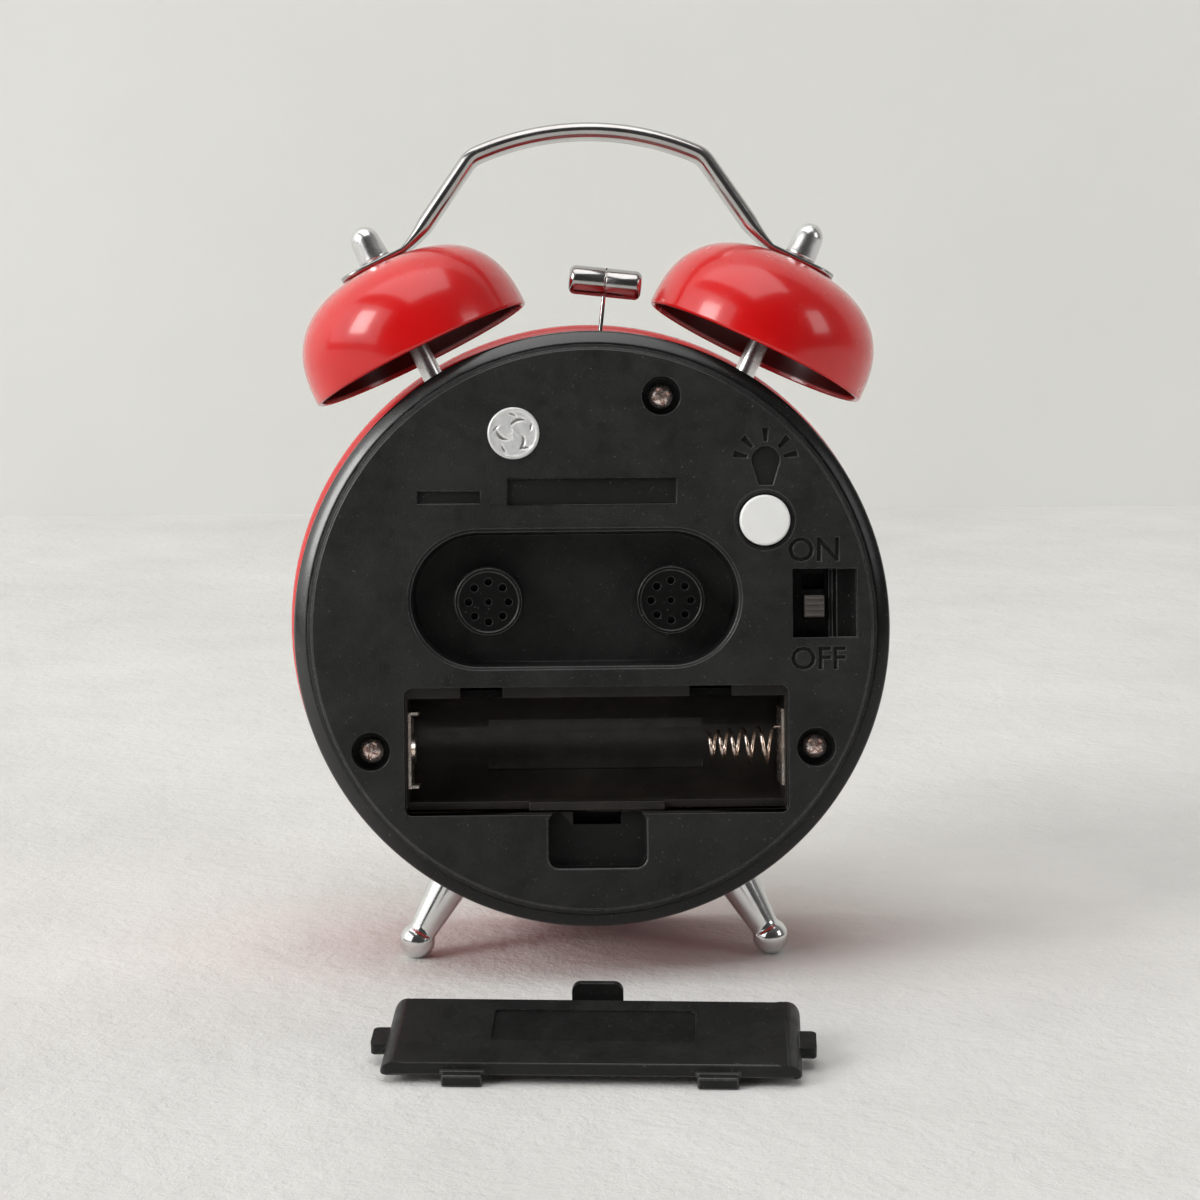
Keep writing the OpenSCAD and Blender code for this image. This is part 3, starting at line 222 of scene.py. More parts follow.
# Black mouldings: darker shade, lighter shade, roughness, grain in metres, gloss and tint
GREY = (1, 1, 0.98)
BROWN = (1, 0.84, 0.68)
DUST = (0.075, 0.07, 0.066)
BLACKS = {
    "black_plastic": (0.006, 0.016, (0.36, 0.68), 0.0001, 0.42, GREY),
    # Painted shade: the sunk marks and the finger recess's floor are darker than the panel, as shade falls in them
    "sunk_black": (0.005, 0.010, (0.5, 0.65), 0.00003, 0.28, GREY),
    # Painted shade on the finger recess's walls, the switch window, the notches and the switch body; the knobs are
    # this darker black too
    "deep_black": (0.002, 0.005, (0.4, 0.55), 0.00003, 0.15, GREY),
    # Painted reflection: the battery bay's inside is lighter and warm brown, for the warm light it reflects
    "bay_black": (0.011, 0.026, (0.28, 0.48), 0.00003, 0.5, BROWN),
    "worn_edge": (0.024, 0.045, (0.2, 0.32), 0.00003, 0.5, GREY),
    "lid_black": (0.007, 0.014, (0.36, 0.55), 0.00003, 0.3, GREY),
    # Painted shade: the lid's sunk label is darker than the lid around it
    "label_black": (0.005, 0.010, (0.42, 0.6), 0.00003, 0.22, GREY),
}
RIM_BLACK = (0.006, 0.010, (0.18, 0.28), 0.00001, 0.5, GREY)
# The rim's gloss is painted light: a painted highlight, strongest towards the upper left where the window shines
# in it, and painted shade towards the bottom where it would show the floor: the way, where it starts and ends in
# metres, and the gloss
SHEEN_WAY = (-0.8, 0, 0.6)
SHEEN_SPAN = (0.03, 0.065)
SHEEN_GLOSS = (0.3, 1.0)
# Chrome plate: roughness, hazy shade and bright shade
CHROMES = {
    "chrome_plate": ((0.07, 0.16), (0.70, 0.69, 0.68), (0.80, 0.80, 0.80)),
    "satin_chrome": ((0.2, 0.3), (0.70, 0.69, 0.68), (0.80, 0.80, 0.80)),
    # A darker copy of the chrome for the handle's bar and the hammer: painted shade, standing in for the dim room
    # they reflect
    "bar_chrome": ((0.12, 0.22), (0.42, 0.40, 0.39), (0.52, 0.51, 0.50)),
}
# Other metals: tarnished shade, bright shade, roughness, scale of the patches and relief in metres
METALS = {
    "contact_steel": ((0.84, 0.69, 0.60), (0.95, 0.87, 0.81), (0.2, 0.36), 500, 0.000005),
    "spring_wire": ((0.70, 0.54, 0.45), (0.84, 0.72, 0.64), (0.14, 0.26), 1500, 0.00002),
    "plain_steel": ((0.22, 0.17, 0.16), (0.66, 0.58, 0.55), (0.22, 0.5), 1600, 0.00006),
    "screw_steel": ((0.80, 0.60, 0.54), (0.95, 0.84, 0.80), (0.2, 0.36), 1500, 0.00004),
    "brass": ((0.62, 0.44, 0.17), (0.75, 0.57, 0.27), (0.2, 0.35), 900, 0.00002),
    "worn_foil": ((0.30, 0.28, 0.27), (0.52, 0.50, 0.49), (0.3, 0.45), 900, 0.00002),
}
# Other plastics: darker shade, lighter shade and roughness
PLASTICS = {
    "dial_white": ((0.80, 0.80, 0.78), (0.84, 0.84, 0.82), (0.4, 0.55)),
    "frame_plastic": ((0.70, 0.70, 0.68), (0.76, 0.76, 0.74), (0.4, 0.55)),
    "movement_plastic": ((0.014, 0.014, 0.015), (0.022, 0.022, 0.023), (0.35, 0.5)),
    "gear_plastic": ((0.72, 0.71, 0.66), (0.80, 0.79, 0.74), (0.25, 0.4)),
    "button_white": ((0.88, 0.88, 0.86), (0.92, 0.92, 0.90), (0.3, 0.42)),
    "hand_black": ((0.012, 0.012, 0.012), (0.02, 0.02, 0.02), (0.4, 0.5)),
    "hand_red": ((0.50, 0.012, 0.012), (0.58, 0.018, 0.018), (0.4, 0.5)),
    "board_green": ((0.02, 0.12, 0.05), (0.03, 0.17, 0.07), (0.3, 0.4)),
    "lamp_lens": ((0.78, 0.72, 0.52), (0.85, 0.79, 0.6), (0.15, 0.25)),
    "slider_grey": ((0.07, 0.06, 0.055), (0.11, 0.095, 0.088), (0.4, 0.55)),
}
SEAL_FOIL = ((0.74, 0.74, 0.73), (0.86, 0.86, 0.85), (0.28, 0.42), 700)


def red_enamel(name, low, high, coat):
    """Gloss red enamel on pressed sheet, with a faint orange peel."""
    mat = new_material(name, Coat_Weight=coat, Coat_Roughness=0.1, IOR=1.45)
    feed(mat, "Base Color", ramp(mat, noise(mat, 60), 0.35, low, 0.65, high))
    feed(mat, "Roughness", spread(mat, noise(mat, 300, 4), 0.2, 0.28))
    bump(mat, noise(mat, 900, 2), 0.00004, 0.25)
    return mat


def black_moulding(name, low, high, rough, grain, gloss, tint):
    """Black moulded plastic: clouded, finely grained, with a little pale dust."""
    mat = new_material(name, IOR=1.46, Specular_IOR_Level=gloss)
    dark, light = ([shade * part for part in tint] for shade in (low, high))
    cloud = ramp(mat, noise(mat, 110, 6, 0.65), 0.34, dark, 0.66, light)
    specks = spread(mat, noise(mat, 2600, 1, 0.4), 0.0, 1.0, 0.735, 0.78)
    feed(mat, "Base Color", dusted(mat, cloud, specks, DUST))
    feed(mat, "Roughness", spread(mat, noise(mat, 420, 6, 0.65), *rough))
    bump(mat, noise(mat, 3200, 3, 0.6), grain, 0.8)
    return mat


def polished_rim(name):
    """Black plastic whose gloss is raised on the upper left of the rim and lowered below, a painted highlight and
    shade.
    """
    mat = black_moulding(name, *RIM_BLACK)
    tree = mat.node_tree
    coord = tree.nodes.new("ShaderNodeTexCoord")
    slant = tree.nodes.new("ShaderNodeVectorMath")
    slant.operation = "DOT_PRODUCT"
    slant.inputs[1].default_value = SHEEN_WAY
    tree.links.new(coord.outputs["Object"], slant.inputs[0])
    feed(mat, "Specular IOR Level", spread(mat, slant.outputs["Value"], *SHEEN_GLOSS, *SHEEN_SPAN))
    return mat


def chrome_plate(name, rough, low, high):
    """Bright chrome plate with faint haze."""
    mat = new_material(name, Metallic=1.0)
    feed(mat, "Base Color", ramp(mat, noise(mat, 160, 4), 0.35, low, 0.7, high))
    feed(mat, "Roughness", spread(mat, noise(mat, 420, 4), *rough))
    bump(mat, noise(mat, 350, 2), 0.00003, 0.1)
    return mat


def plain_metal(name, low, high, rough, scale, relief):
    """Metal that is a little tarnished in patches."""
    mat = new_material(name, Metallic=1.0)
    feed(mat, "Base Color", ramp(mat, noise(mat, scale, 4), 0.38, low, 0.62, high))
    feed(mat, "Roughness", spread(mat, noise(mat, scale * 1.7, 4), *rough))
    bump(mat, noise(mat, scale * 2.5, 3), relief, 0.5)
    return mat


def plain_plastic(name, low, high, rough, scale=260, **sockets):
    """Moulded plastic with a faint change of shade."""
    mat = new_material(name, **sockets)
    feed(mat, "Base Color", ramp(mat, noise(mat, scale, 3), 0.35, low, 0.65, high))
    feed(mat, "Roughness", spread(mat, noise(mat, scale * 2, 3), *rough))
    bump(mat, noise(mat, scale * 8, 3), 0.00001, 0.4)
    return mat


def clear_lens(name):
    """Clear moulded lens with a trace of fine scratches in its gloss."""
    mat = new_material(name, Base_Color=(0.28, 0.3, 0.3, 1), IOR=1.6, Alpha=0.1)
    feed(mat, "Roughness", spread(mat, noise(mat, 700, 5), 0.02, 0.07))
    return mat


def make_materials():
    """Every material, by the record's slot or the finish that it gives."""
    made = {}
    for maker, table in ((red_enamel, REDS), (black_moulding, BLACKS), (chrome_plate, CHROMES),
                         (plain_metal, METALS), (plain_plastic, PLASTICS)):
        for name, values in table.items():
            made[name] = maker(name, *values)
    made["rim_black"] = polished_rim("rim_black")
    made["clear_lens"] = clear_lens("clear_lens")
    made["seal_foil"] = plain_plastic("seal_foil", *SEAL_FOIL, Metallic=0.35)
    return made


# Stage, in metres
STAGE_HALF = 3
WALL_Y = 0.545
WALL_HIGH = 2.5
FLOOR_SHADES = ((0.65, 0.645, 0.625), (0.74, 0.735, 0.715))
WALL_SHADES = ((0.805, 0.805, 0.778), (0.845, 0.845, 0.817))


def pale_surface(name, shades, scale, rough_scale, **sockets):
    """Pale matt surface with soft clouds."""
    mat = new_material(name, **sockets)
    low, high = shades
    feed(mat, "Base Color", ramp(mat, noise(mat, scale, 6, 0.62), 0.3, low, 0.7, high))
    feed(mat, "Roughness", spread(mat, noise(mat, rough_scale, 4), 0.62, 0.85))
    return mat


def pale_floor():
    """Pale washed table top, softly uneven and finely pitted."""
    mat = pale_surface("pale_floor", FLOOR_SHADES, 14, 60, Specular_IOR_Level=0.1)
    swell = bump(mat, noise(mat, 90, 5, 0.6, 0.4), 0.0013, 0.5)
    bump(mat, noise(mat, 420, 4, 0.7), 0.00065, 0.55, swell)
    return mat


def pale_wall():
    """Pale painted wall, clear where its back is seen."""
    mat = pale_surface("pale_wall", WALL_SHADES, 5, 25)
    tree = mat.node_tree
    side = tree.nodes.new("ShaderNodeNewGeometry")
    clear = tree.nodes.new("ShaderNodeBsdfTransparent")
    mix = tree.nodes.new("ShaderNodeMixShader")
    tree.links.new(side.outputs["Backfacing"], mix.inputs["Fac"])
    tree.links.new(tree.nodes["Principled BSDF"].outputs["BSDF"], mix.inputs[1])
    tree.links.new(clear.outputs["BSDF"], mix.inputs[2])
    tree.links.new(mix.outputs["Shader"], tree.nodes["Material Output"].inputs["Surface"])
    return mat


def stage_sheet(name, corners, mat):
    """One flat sheet of the stage."""
    mesh = bpy.data.meshes.new(name)
    mesh.from_pydata(corners, [], [tuple(range(len(corners)))])
    mesh.materials.append(mat)
    put(name, mesh)


def make_stage():
    """Pale floor and pale wall."""
    far = STAGE_HALF
    stage_sheet("floor", [(-far, -far, 0), (far, -far, 0), (far, far, 0), (-far, far, 0)], pale_floor())
    stage_sheet("wall", [(-far, WALL_Y, 0), (far, WALL_Y, 0), (far, WALL_Y, WALL_HIGH),
                         (-far, WALL_Y, WALL_HIGH)], pale_wall())


# Meshes and pieces

def add_piece(name, mesh, slot, body="case", instead=None, sharp=35, finish=None):
    """Puts a mesh into the scene as a piece of a body, smooth but for its sharp edges.

    The finish lists materials by name, in the order of the faces' material indices.
    """
    mesh.shade_smooth()
    mesh.set_sharp_from_angle(angle=math.radians(sharp))
    finish = finish or (slot,)
    kinds = [min(face.material_index, len(finish) - 1) for face in mesh.polygons]
    mesh.materials.clear()
    for kind in finish:
        mesh.materials.append(materials[kind])
    mesh.polygons.foreach_set("material_index", kinds)
    piece = put(name, mesh)
    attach(piece, body)
    if instead:
        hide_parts(instead)
    return piece


def mesh_from(name, points, faces, matrix=CLOCK):
    """A mesh from points in a local frame, with its normals facing out."""
    mesh = bpy.data.meshes.new(name)
    mesh.from_pydata([matrix @ Vector(p) for p in points], [], faces)
    bm = bmesh.new()
    bm.from_mesh(mesh)
    bmesh.ops.recalc_face_normals(bm, faces=bm.faces)
    bm.to_mesh(mesh)
    bm.free()
    return mesh


def to_mesh(name, bm):
    """A new mesh from a bmesh, which is freed."""
    mesh = bpy.data.meshes.new(name)
    bm.to_mesh(mesh)
    bm.free()
    return mesh


def band(a, b, count):
    """Faces between two rings of points, by the first point of each."""
    return [(a + k, a + (k + 1) % count, b + (k + 1) % count, b + k) for k in range(count)]


def fan(tip, ring, count):
    """Faces between a tip and a ring of points."""
    return [(tip, ring + k, ring + (k + 1) % count) for k in range(count)]


def tube_faces(rings, sides, closed=False):
    """Faces of a skin through rings of points, capped unless the rings close."""
    faces = []
    for i in range(rings if closed else rings - 1):
        faces += band(i * sides, (i + 1) % rings * sides, sides)
    if not closed:
        faces.append(tuple(range(sides)))
        faces.append(tuple((rings - 1) * sides + k for k in reversed(range(sides))))
    return faces


def polar(radius, degrees):
    """A point of the plane by radius and angle."""
    return radius * math.cos(math.radians(degrees)), radius * math.sin(math.radians(degrees))


def lathe(name, profile, turns, matrix):
    """A closed solid turned about the local Z axis.

    The profile is pairs of radius and height, and runs from the axis to the axis.
    """
    points = [(0, 0, profile[0][1])]
    for r, h in profile[1:-1]:
        points += [(*polar(r, 360 * k / turns), h) for k in range(turns)]
    points.append((0, 0, profile[-1][1]))
    rings = [1 + i * turns for i in range(len(profile) - 2)]
    faces = fan(0, rings[0], turns)
    for a, b in zip(rings, rings[1:]):
        faces += band(a, b, turns)
    faces += fan(len(points) - 1, rings[-1], turns)
    return mesh_from(name, points, faces, matrix)


# Bells: the same skins as the solids, with a rolled rim and many more steps
BELL_R = 18
BELL_H = 15
BELL_POWER = 2.6
BELL_TILT = 26
BELL_SEAT = 31.3
BELL_SHEET = 0.8
BELL_STEPS = 40
BELL_CROWDING = 1.5
BELL_TURNS = 144
RIM_DIST = 50.097
STUD_R = 1.1
STUD_GAP = 0.15
LIP_ANGLES = range(-150, -29, 30)


def bell_skin(radius, height):
    """Half profile of a bell's skin, from its rim to its top, boxier than an ellipse."""
    share = 2 / BELL_POWER
    angles = [math.pi / 2 * (i / BELL_STEPS) ** BELL_CROWDING for i in range(BELL_STEPS + 1)]
    return [(radius * math.cos(a) ** share, height * math.sin(a) ** share) for a in angles]


def make_bell(side, node):
    """A spun steel bell as one closed skin, painted darker inside as shade in its hollow."""
    hole = STUD_R + STUD_GAP
    outer = [p for p in bell_skin(BELL_R, BELL_H) if p[0] > hole] + [(hole, BELL_H)]
    inner = [p for p in bell_skin(BELL_R - BELL_SHEET, BELL_H - BELL_SHEET) if p[0] > hole]
    inner.append((hole, BELL_H - BELL_SHEET))
    half = BELL_SHEET / 2
    lip = [(BELL_R - half + c, s) for c, s in (polar(half, a) for a in LIP_ANGLES)]
    profile = outer + inner[:0:-1] + lip
    count = len(profile)
    points = [(*polar(r, 360 * i / BELL_TURNS), h) for i in range(BELL_TURNS) for r, h in profile]
    z, x = polar(RIM_DIST, BELL_SEAT)
    stand = (CLOCK @ Matrix.Translation((side * x, MID_Y, z))
             @ Matrix.Rotation(side * math.radians(BELL_TILT), 4, "Y"))
    mesh = mesh_from(node + "_skin", points, tube_faces(BELL_TURNS, count, closed=True), stand)
    # The inner skin takes the darker enamel, a painted shade
    for face in mesh.polygons:
        face.material_index = int(len(outer) <= face.index % count < len(outer) + len(inner) - 2)
    add_piece(node + "_skin", mesh, "red_paint", instead=node, finish=("red_paint", "inner_red"))


# Handle: one bent bar with flattened tabs under the cap nuts
HANDLE_TOP = 77
ARCH_R = 43
SHOULDER_X = 17
SHOULDER_R = 4
BAR_W = 6
BAR_T = 2.4
BEND_LEN = 2.6
TAB_T = 0.8
TAB_OUT = 6
TAB_IN = 7.2
TAB_TIP = 0.5
SEAT_GAP = 0.05
LEAST_FLAT = 0.05
TAB_STEPS = 6
BEND_STEPS = 8
ARCH_STEPS = 24
EDGE_STEPS = 8


def heading(angle):
    """A step of length one in X and Z."""
    return Vector((math.cos(angle), math.sin(angle)))


def handle_stations():
    """Half of the bar, from its tab to the top of its arch.

    A station is a place, the heading of the bar's outward side, its thickness and its half width.
    """
    tilt, tab_way = math.radians(BELL_TILT), math.radians(90 - BELL_TILT)
    axis, out = heading(tab_way), heading(-tilt)
    apex = RIM_DIST * heading(math.radians(90 - BELL_SEAT)) + BELL_H * axis
    tab = apex + (SEAT_GAP + TAB_T / 2) * axis
    bend = apex + (SEAT_GAP + BAR_T / 2) * axis - TAB_IN * out
    centre = Vector((0, HANDLE_TOP - ARCH_R))
    arch_half = math.asin(SHOULDER_X / ARCH_R)
    arch_way = math.pi / 2 - arch_half
    shoulder = centre + (ARCH_R - SHOULDER_R) * heading(arch_way)
    leg = bend - shoulder
    leg_way = math.atan2(leg.y, leg.x) + math.acos(SHOULDER_R / leg.length)
    half = BAR_W / 2
    stations = []
    for k in range(TAB_STEPS + 1):
        a = math.pi / 2 * (1 - k / TAB_STEPS)
        spot = tab + (TAB_OUT - half + half * math.sin(a)) * out
        stations.append((spot, tab_way, TAB_T, max(half * math.cos(a), TAB_TIP)))
    leg_start = shoulder + SHOULDER_R * heading(leg_way)
    before = tab - (TAB_IN - BEND_LEN) * out
    after = bend + BEND_LEN * (leg_start - bend).normalized()
    for k in range(BEND_STEPS + 1):
        t = k / BEND_STEPS
        spot = (1 - t) ** 2 * before + 2 * t * (1 - t) * bend + t * t * after
        stations.append((spot, tab_way + (leg_way - tab_way) * t, TAB_T + (BAR_T - TAB_T) * t, half))
    for k in range(BEND_STEPS + 1):
        a = leg_way + (arch_way - leg_way) * k / BEND_STEPS
        stations.append((shoulder + SHOULDER_R * heading(a), a, BAR_T, half))
    for k in range(1, ARCH_STEPS + 1):
        a = arch_way + arch_half * k / ARCH_STEPS
        stations.append((centre + ARCH_R * heading(a), a, BAR_T, half))
    return stations


def make_handle():
    """The bar swept along its stations, its edges rounded."""
    right = handle_stations()
    left = [(Vector((-p.x, p.y)), math.pi - a, t, w) for p, a, t, w in right[-2::-1]]
    points = []
    for spot, way, thick, half in right + left:
        r = thick / 2
        flat = max(half - r, LEAST_FLAT)
        for side in (1, -1):
            for k in range(EDGE_STEPS + 1):
                a = math.pi * k / EDGE_STEPS
                y, lift = side * (flat + r * math.sin(a)), side * r * math.cos(a)
                points.append((spot.x + lift * math.cos(way), MID_Y + y, spot.y + lift * math.sin(way)))
    sides = 2 * (EDGE_STEPS + 1)
    mesh = mesh_from("handle_bar", points, tube_faces(len(points) // sides, sides))
    # The bar takes the darker chrome, a painted shade
    add_piece("handle_bar", mesh, "chrome_plate", instead="handle", sharp=50, finish=("bar_chrome",))


# Contact spring: the same line as the solid, round and fine. Its turns lie closer towards its free end
SPRING_X = 28.475
BAY_AXIS = 7.5
BAY_Z = -18.15
COIL_D = 4.7
COIL_FLARE = 0.5
COIL_TURNS = 5
COIL_LEN = 11.5
COIL_CROWDING = 0.35
COIL_STEPS = 32
WIRE_D = 0.6
WIRE_ROOT = 0.3
WIRE_SIDES = 10


def make_spring():
    """Drawn wire from the contact plate to its free end, in one unbroken tube."""
    base, tip = COIL_D / 2 + COIL_FLARE, (COIL_D - WIRE_D) / 2
    count = COIL_TURNS * COIL_STEPS
    line = [Vector((SPRING_X + WIRE_ROOT, BAY_AXIS, BAY_Z + base))]
    for i in range(count + 1):
        t = i / count
        a = 2 * math.pi * COIL_TURNS * t
        r = base + (tip - base) * t
        along = (1 + COIL_CROWDING - COIL_CROWDING * t) * t
        line.append(Vector((SPRING_X - WIRE_D - (COIL_LEN - 2 * WIRE_D) * along,
                            BAY_AXIS + r * math.sin(a), BAY_Z + r * math.cos(a))))
    points = []
    for i, spot in enumerate(line):
        way = (line[min(i + 1, count + 1)] - line[max(i - 1, 0)]).normalized()
        out = Vector((0, spot.y - BAY_AXIS, spot.z - BAY_Z))
        out = (out - out.dot(way) * way).normalized()
        up = way.cross(out)
        for k in range(WIRE_SIDES):
            c, s = polar(WIRE_D / 2, 360 * k / WIRE_SIDES)
            points.append(spot + c * out + s * up)
    mesh = mesh_from("spring_coil", points, tube_faces(len(line), WIRE_SIDES))
    add_piece("spring_coil", mesh, "spring_wire", instead="contact_spring", sharp=60)


# Hammer head: two barrels on the wire, with a seam between them, given as depths and half widths
HEAD_LEN = 11.3
HEAD_R = 2.25
HEAD_ROUND = 1.0
HEAD_SEAM = ((0, 0.22), (0.06, 0.12), (0.2, 0.08))
HEAD_TURNS = 72
HAMMER_LEN = 24.2
PIVOT_Z = 29.5
HAMMER_REST = 6.4


def make_hammer_head():
    """The hammer's head as one turned form."""
    half = HEAD_LEN / 2
    corner = [(HEAD_R - HEAD_ROUND + s, half - HEAD_ROUND + c)
              for c, s in (polar(HEAD_ROUND, a) for a in range(0, 91, 9))]
    upper = [(0, half), *corner, *((HEAD_R - deep, wide) for deep, wide in HEAD_SEAM)]
    profile = [(r, -h) for r, h in upper] + upper[::-1]
    stand = (CLOCK @ Matrix.Translation((0, MID_Y, PIVOT_Z))
             @ Matrix.Rotation(math.radians(HAMMER_REST), 4, "Y")
             @ Matrix.Translation((0, 0, HAMMER_LEN)) @ Matrix.Rotation(math.pi / 2, 4, "Y"))
    mesh = lathe("hammer_barrel", profile, HEAD_TURNS, stand)
    # The hammer's head takes the darker chrome, a painted shade
    add_piece("hammer_barrel", mesh, "chrome_plate", "hammer", "hammer_head", 50, ("bar_chrome",))


# Cover screws: crowned heads with a cross recess, deep in their bores
SCREW_AT = ((10.6, 35), (33.475, -18), (-33.475, -18))
SCREW_R = 1.8
SCREW_SEAT = 3.35
SCREW_RINGS = 22
SCREW_TURNS = 96
SCREW_HEADING = 20
HEADING_STEP = 25
CROWN_H = 1.45
CROWN_DROP = 0.55
CROWN_POWER = 2.6
CROSS_HALF = 0.17
CROSS_WALL = 0.12
CROSS_REACH = 1.3
CROSS_END = 0.3
CROSS_DEPTH = 0.75
SHANK_R = 0.95
SHANK_END = 10.8
TIP_R = 0.3
TIP_LEN = 1


def screw_height(r, way):
    """Height of a screw's head above its seat: a crown with a cross cut into it."""
    crown = CROWN_H - CROWN_DROP * (r / SCREW_R) ** CROWN_POWER
    aside = min(abs(math.sin(way)), abs(math.cos(way))) * r
    across = max(0, 1 - max(0, aside - CROSS_HALF) / CROSS_WALL)
    along = max(0, min(1, (CROSS_REACH - r) / CROSS_END))
    return crown - CROSS_DEPTH * min(1, across * along)


def make_screws():
    """Three screws, each a crowned head on a shank, in one mesh."""
    points, faces = [], []
    for number, (x, z) in enumerate(SCREW_AT):
        first, turn = len(points), SCREW_HEADING + HEADING_STEP * number
        points.append((x, SCREW_SEAT - screw_height(0, 0), z))
        steps = [(SCREW_R * (i + 1) / SCREW_RINGS, None) for i in range(SCREW_RINGS)]
        steps += [(SCREW_R, SCREW_SEAT), (SHANK_R, SCREW_SEAT), (SHANK_R, SHANK_END),
                  (TIP_R, SHANK_END + TIP_LEN)]
        for r, y in steps:
            for k in range(SCREW_TURNS):
                a = 360 * k / SCREW_TURNS
                c, s = polar(r, a + turn)
                depth = SCREW_SEAT - screw_height(r, math.radians(a)) if y is None else y
                points.append((x + c, depth, z + s))
        rings = [first + 1 + i * SCREW_TURNS for i in range(len(steps))]
        faces += fan(first, rings[0], SCREW_TURNS)
        for a, b in zip(rings, rings[1:]):
            faces += band(a, b, SCREW_TURNS)
        faces.append(tuple(rings[-1] + k for k in range(SCREW_TURNS)))
    mesh = mesh_from("cover_screw_set", points, faces)
    add_piece("cover_screw_set", mesh, "plain_steel", instead="cover_screws", sharp=50,
              finish=("screw_steel",))


# Copies of solids with softened edges. In metres, points closer than MERGE are joined and edges
# shorter than SLIVER are dropped. A step lower than LOW_STEP widths of its round is a low one
MERGE = 2e-6
SLIVER = 1e-6
FLAT_ANGLE = math.radians(0.6)
SHARP_ANGLE = math.radians(28)
STEEP_ANGLE = math.radians(60)
LOW_STEP = 2.2
# A sunk label's drop below the face around it, in millimetres, and how closely faces share a heading
SUNK_DROP = (0.1, 0.5)
NEARLY_ALONG = 0.9
ALONG = 0.99
# Kinds of faces that aren't plain, by material index: worn edges, then sunk, deep and in-bay faces, which carry
# painted shade, and in the bay a painted warm reflection
WORN, SUNK, DEEP, IN_BAY = range(1, 5)


def solid_copy(node):
    """The node's mesh as a closed bmesh."""
    bm = bmesh.new()
    bm.from_mesh(nodes[node].data)
    bmesh.ops.remove_doubles(bm, verts=bm.verts, dist=MERGE)
    bmesh.ops.dissolve_degenerate(bm, edges=bm.edges, dist=SLIVER)
    return bm


def join_flats(bm):
    """Joins faces that lie in one plane."""
    bmesh.ops.dissolve_limit(bm, angle_limit=FLAT_ANGLE, verts=bm.verts, edges=bm.edges)


def reach(edge, face):
    """How far a face reaches from one of its edges."""
    start, end = (vert.co for vert in edge.verts)
    inward = face.normal.cross(end - start).normalized()
    return max(abs((vert.co - start).dot(inward)) for vert in face.verts)


def is_corner(edge, angle):
    """Whether two faces meet at an edge by more than an angle."""
    return len(edge.link_faces) == 2 and edge.calc_face_angle(0) > angle


def round_edges(bm, edges, width, segments):
    """Rounds edges by a width, in millimetres, and marks the new faces as worn."""
    rounds = bmesh.ops.bevel(bm, geom=edges, offset=width * MM, segments=segments, profile=0.5,
                             affect="EDGES", clamp_overlap=False)
    for face in rounds["faces"]:
        face.material_index = WORN


def soften(bm, width, fine=None):
    """Rounds the sharp edges of a closed bmesh by a small width, in millimetres.

    Where a fine width is given, the edges of low steps take that one, as the full width would fill them.
    """
    join_flats(bm)
    bm.normal_update()
    edges = [e for e in bm.edges if is_corner(e, SHARP_ANGLE) and e.calc_length() > width * MM]
    low = [e for e in edges
           if fine and min(reach(e, face) for face in e.link_faces) < LOW_STEP * width * MM]
    for group, size in ((low, fine), ([e for e in edges if e not in low], width)):
        live = [e for e in group if e.is_valid]
        if live:
            round_edges(bm, live, size, 2)
    bmesh.ops.dissolve_degenerate(bm, edges=bm.edges, dist=SLIVER)


def even_shading(piece):
    """Keeps flat faces flat beside softened edges."""
    weigh = piece.modifiers.new("even_shading", "WEIGHTED_NORMAL")
    weigh.keep_sharp = True
    weigh.weight = 100


def mark_sunk(bm):
    """Marks the faces that lie a little below the broadest face, as a sunk label does, for a darker finish that is
    painted shade.
    """
    bm.normal_update()
    level = [face for face in bm.faces if face.normal.z > NEARLY_ALONG]
    top = max(level, key=lambda face: face.calc_area())
    for face in bm.faces:
        drop = (top.calc_center_median() - face.calc_center_median()).dot(top.normal)
        if face.normal.dot(top.normal) > ALONG and SUNK_DROP[0] * MM < drop < SUNK_DROP[1] * MM:
            face.material_index = SUNK


def refine(node, slot, finish, body="case", width=0.0, fine=None):
    """Replaces a node by a copy with smooth shading and, where a width is given, softened edges."""
    bm = solid_copy(node)
    if width:
        soften(bm, width, fine)
    if len(finish) > SUNK:
        mark_sunk(bm)
    piece = add_piece(node + "_fine", to_mesh(node + "_fine", bm), slot, body, node, 40, finish)
    if width:
        even_shading(piece)


# Marks on the back, in millimetres on the panel. A box is its ends in X and in Z
CUTTER_TOP = -0.5
CAP_SHARE = 0.73
MARK_DEPTH = 0.45
LETTER_WEIGHT = 0.1
SWITCH_WORDS = (("ON", (33.4, 11.55), 3.7), ("OFF", (33.9, -4.8), 3.5))
LABEL_DEPTH = 0.6
LABELS = ((-26.2, -16.6, 19.05, 21), (-12.7, 12.8, 18.75, 22.8))
BULB_AT = (26.2, 25.2)
BULB_R = 2.2
BULB_NECK = 1.1
BULB_END = 21.4
RAYS = (90, 45, 12, 135, 168)
RAY_NEAR = (2.75, 0.28)
RAY_FAR = (4.9, 0.55)


def prism(outline, depth):
    """A closed prism over an outline in X and Z, from before the panel to a depth."""
    count = len(outline)
    points = [(x, y, z) for y in (CUTTER_TOP, depth) for x, z in outline]
    faces = [tuple(range(count)), tuple(range(2 * count - 1, count - 1, -1)), *band(0, count, count)]
    return mesh_from("cutter", points, faces)


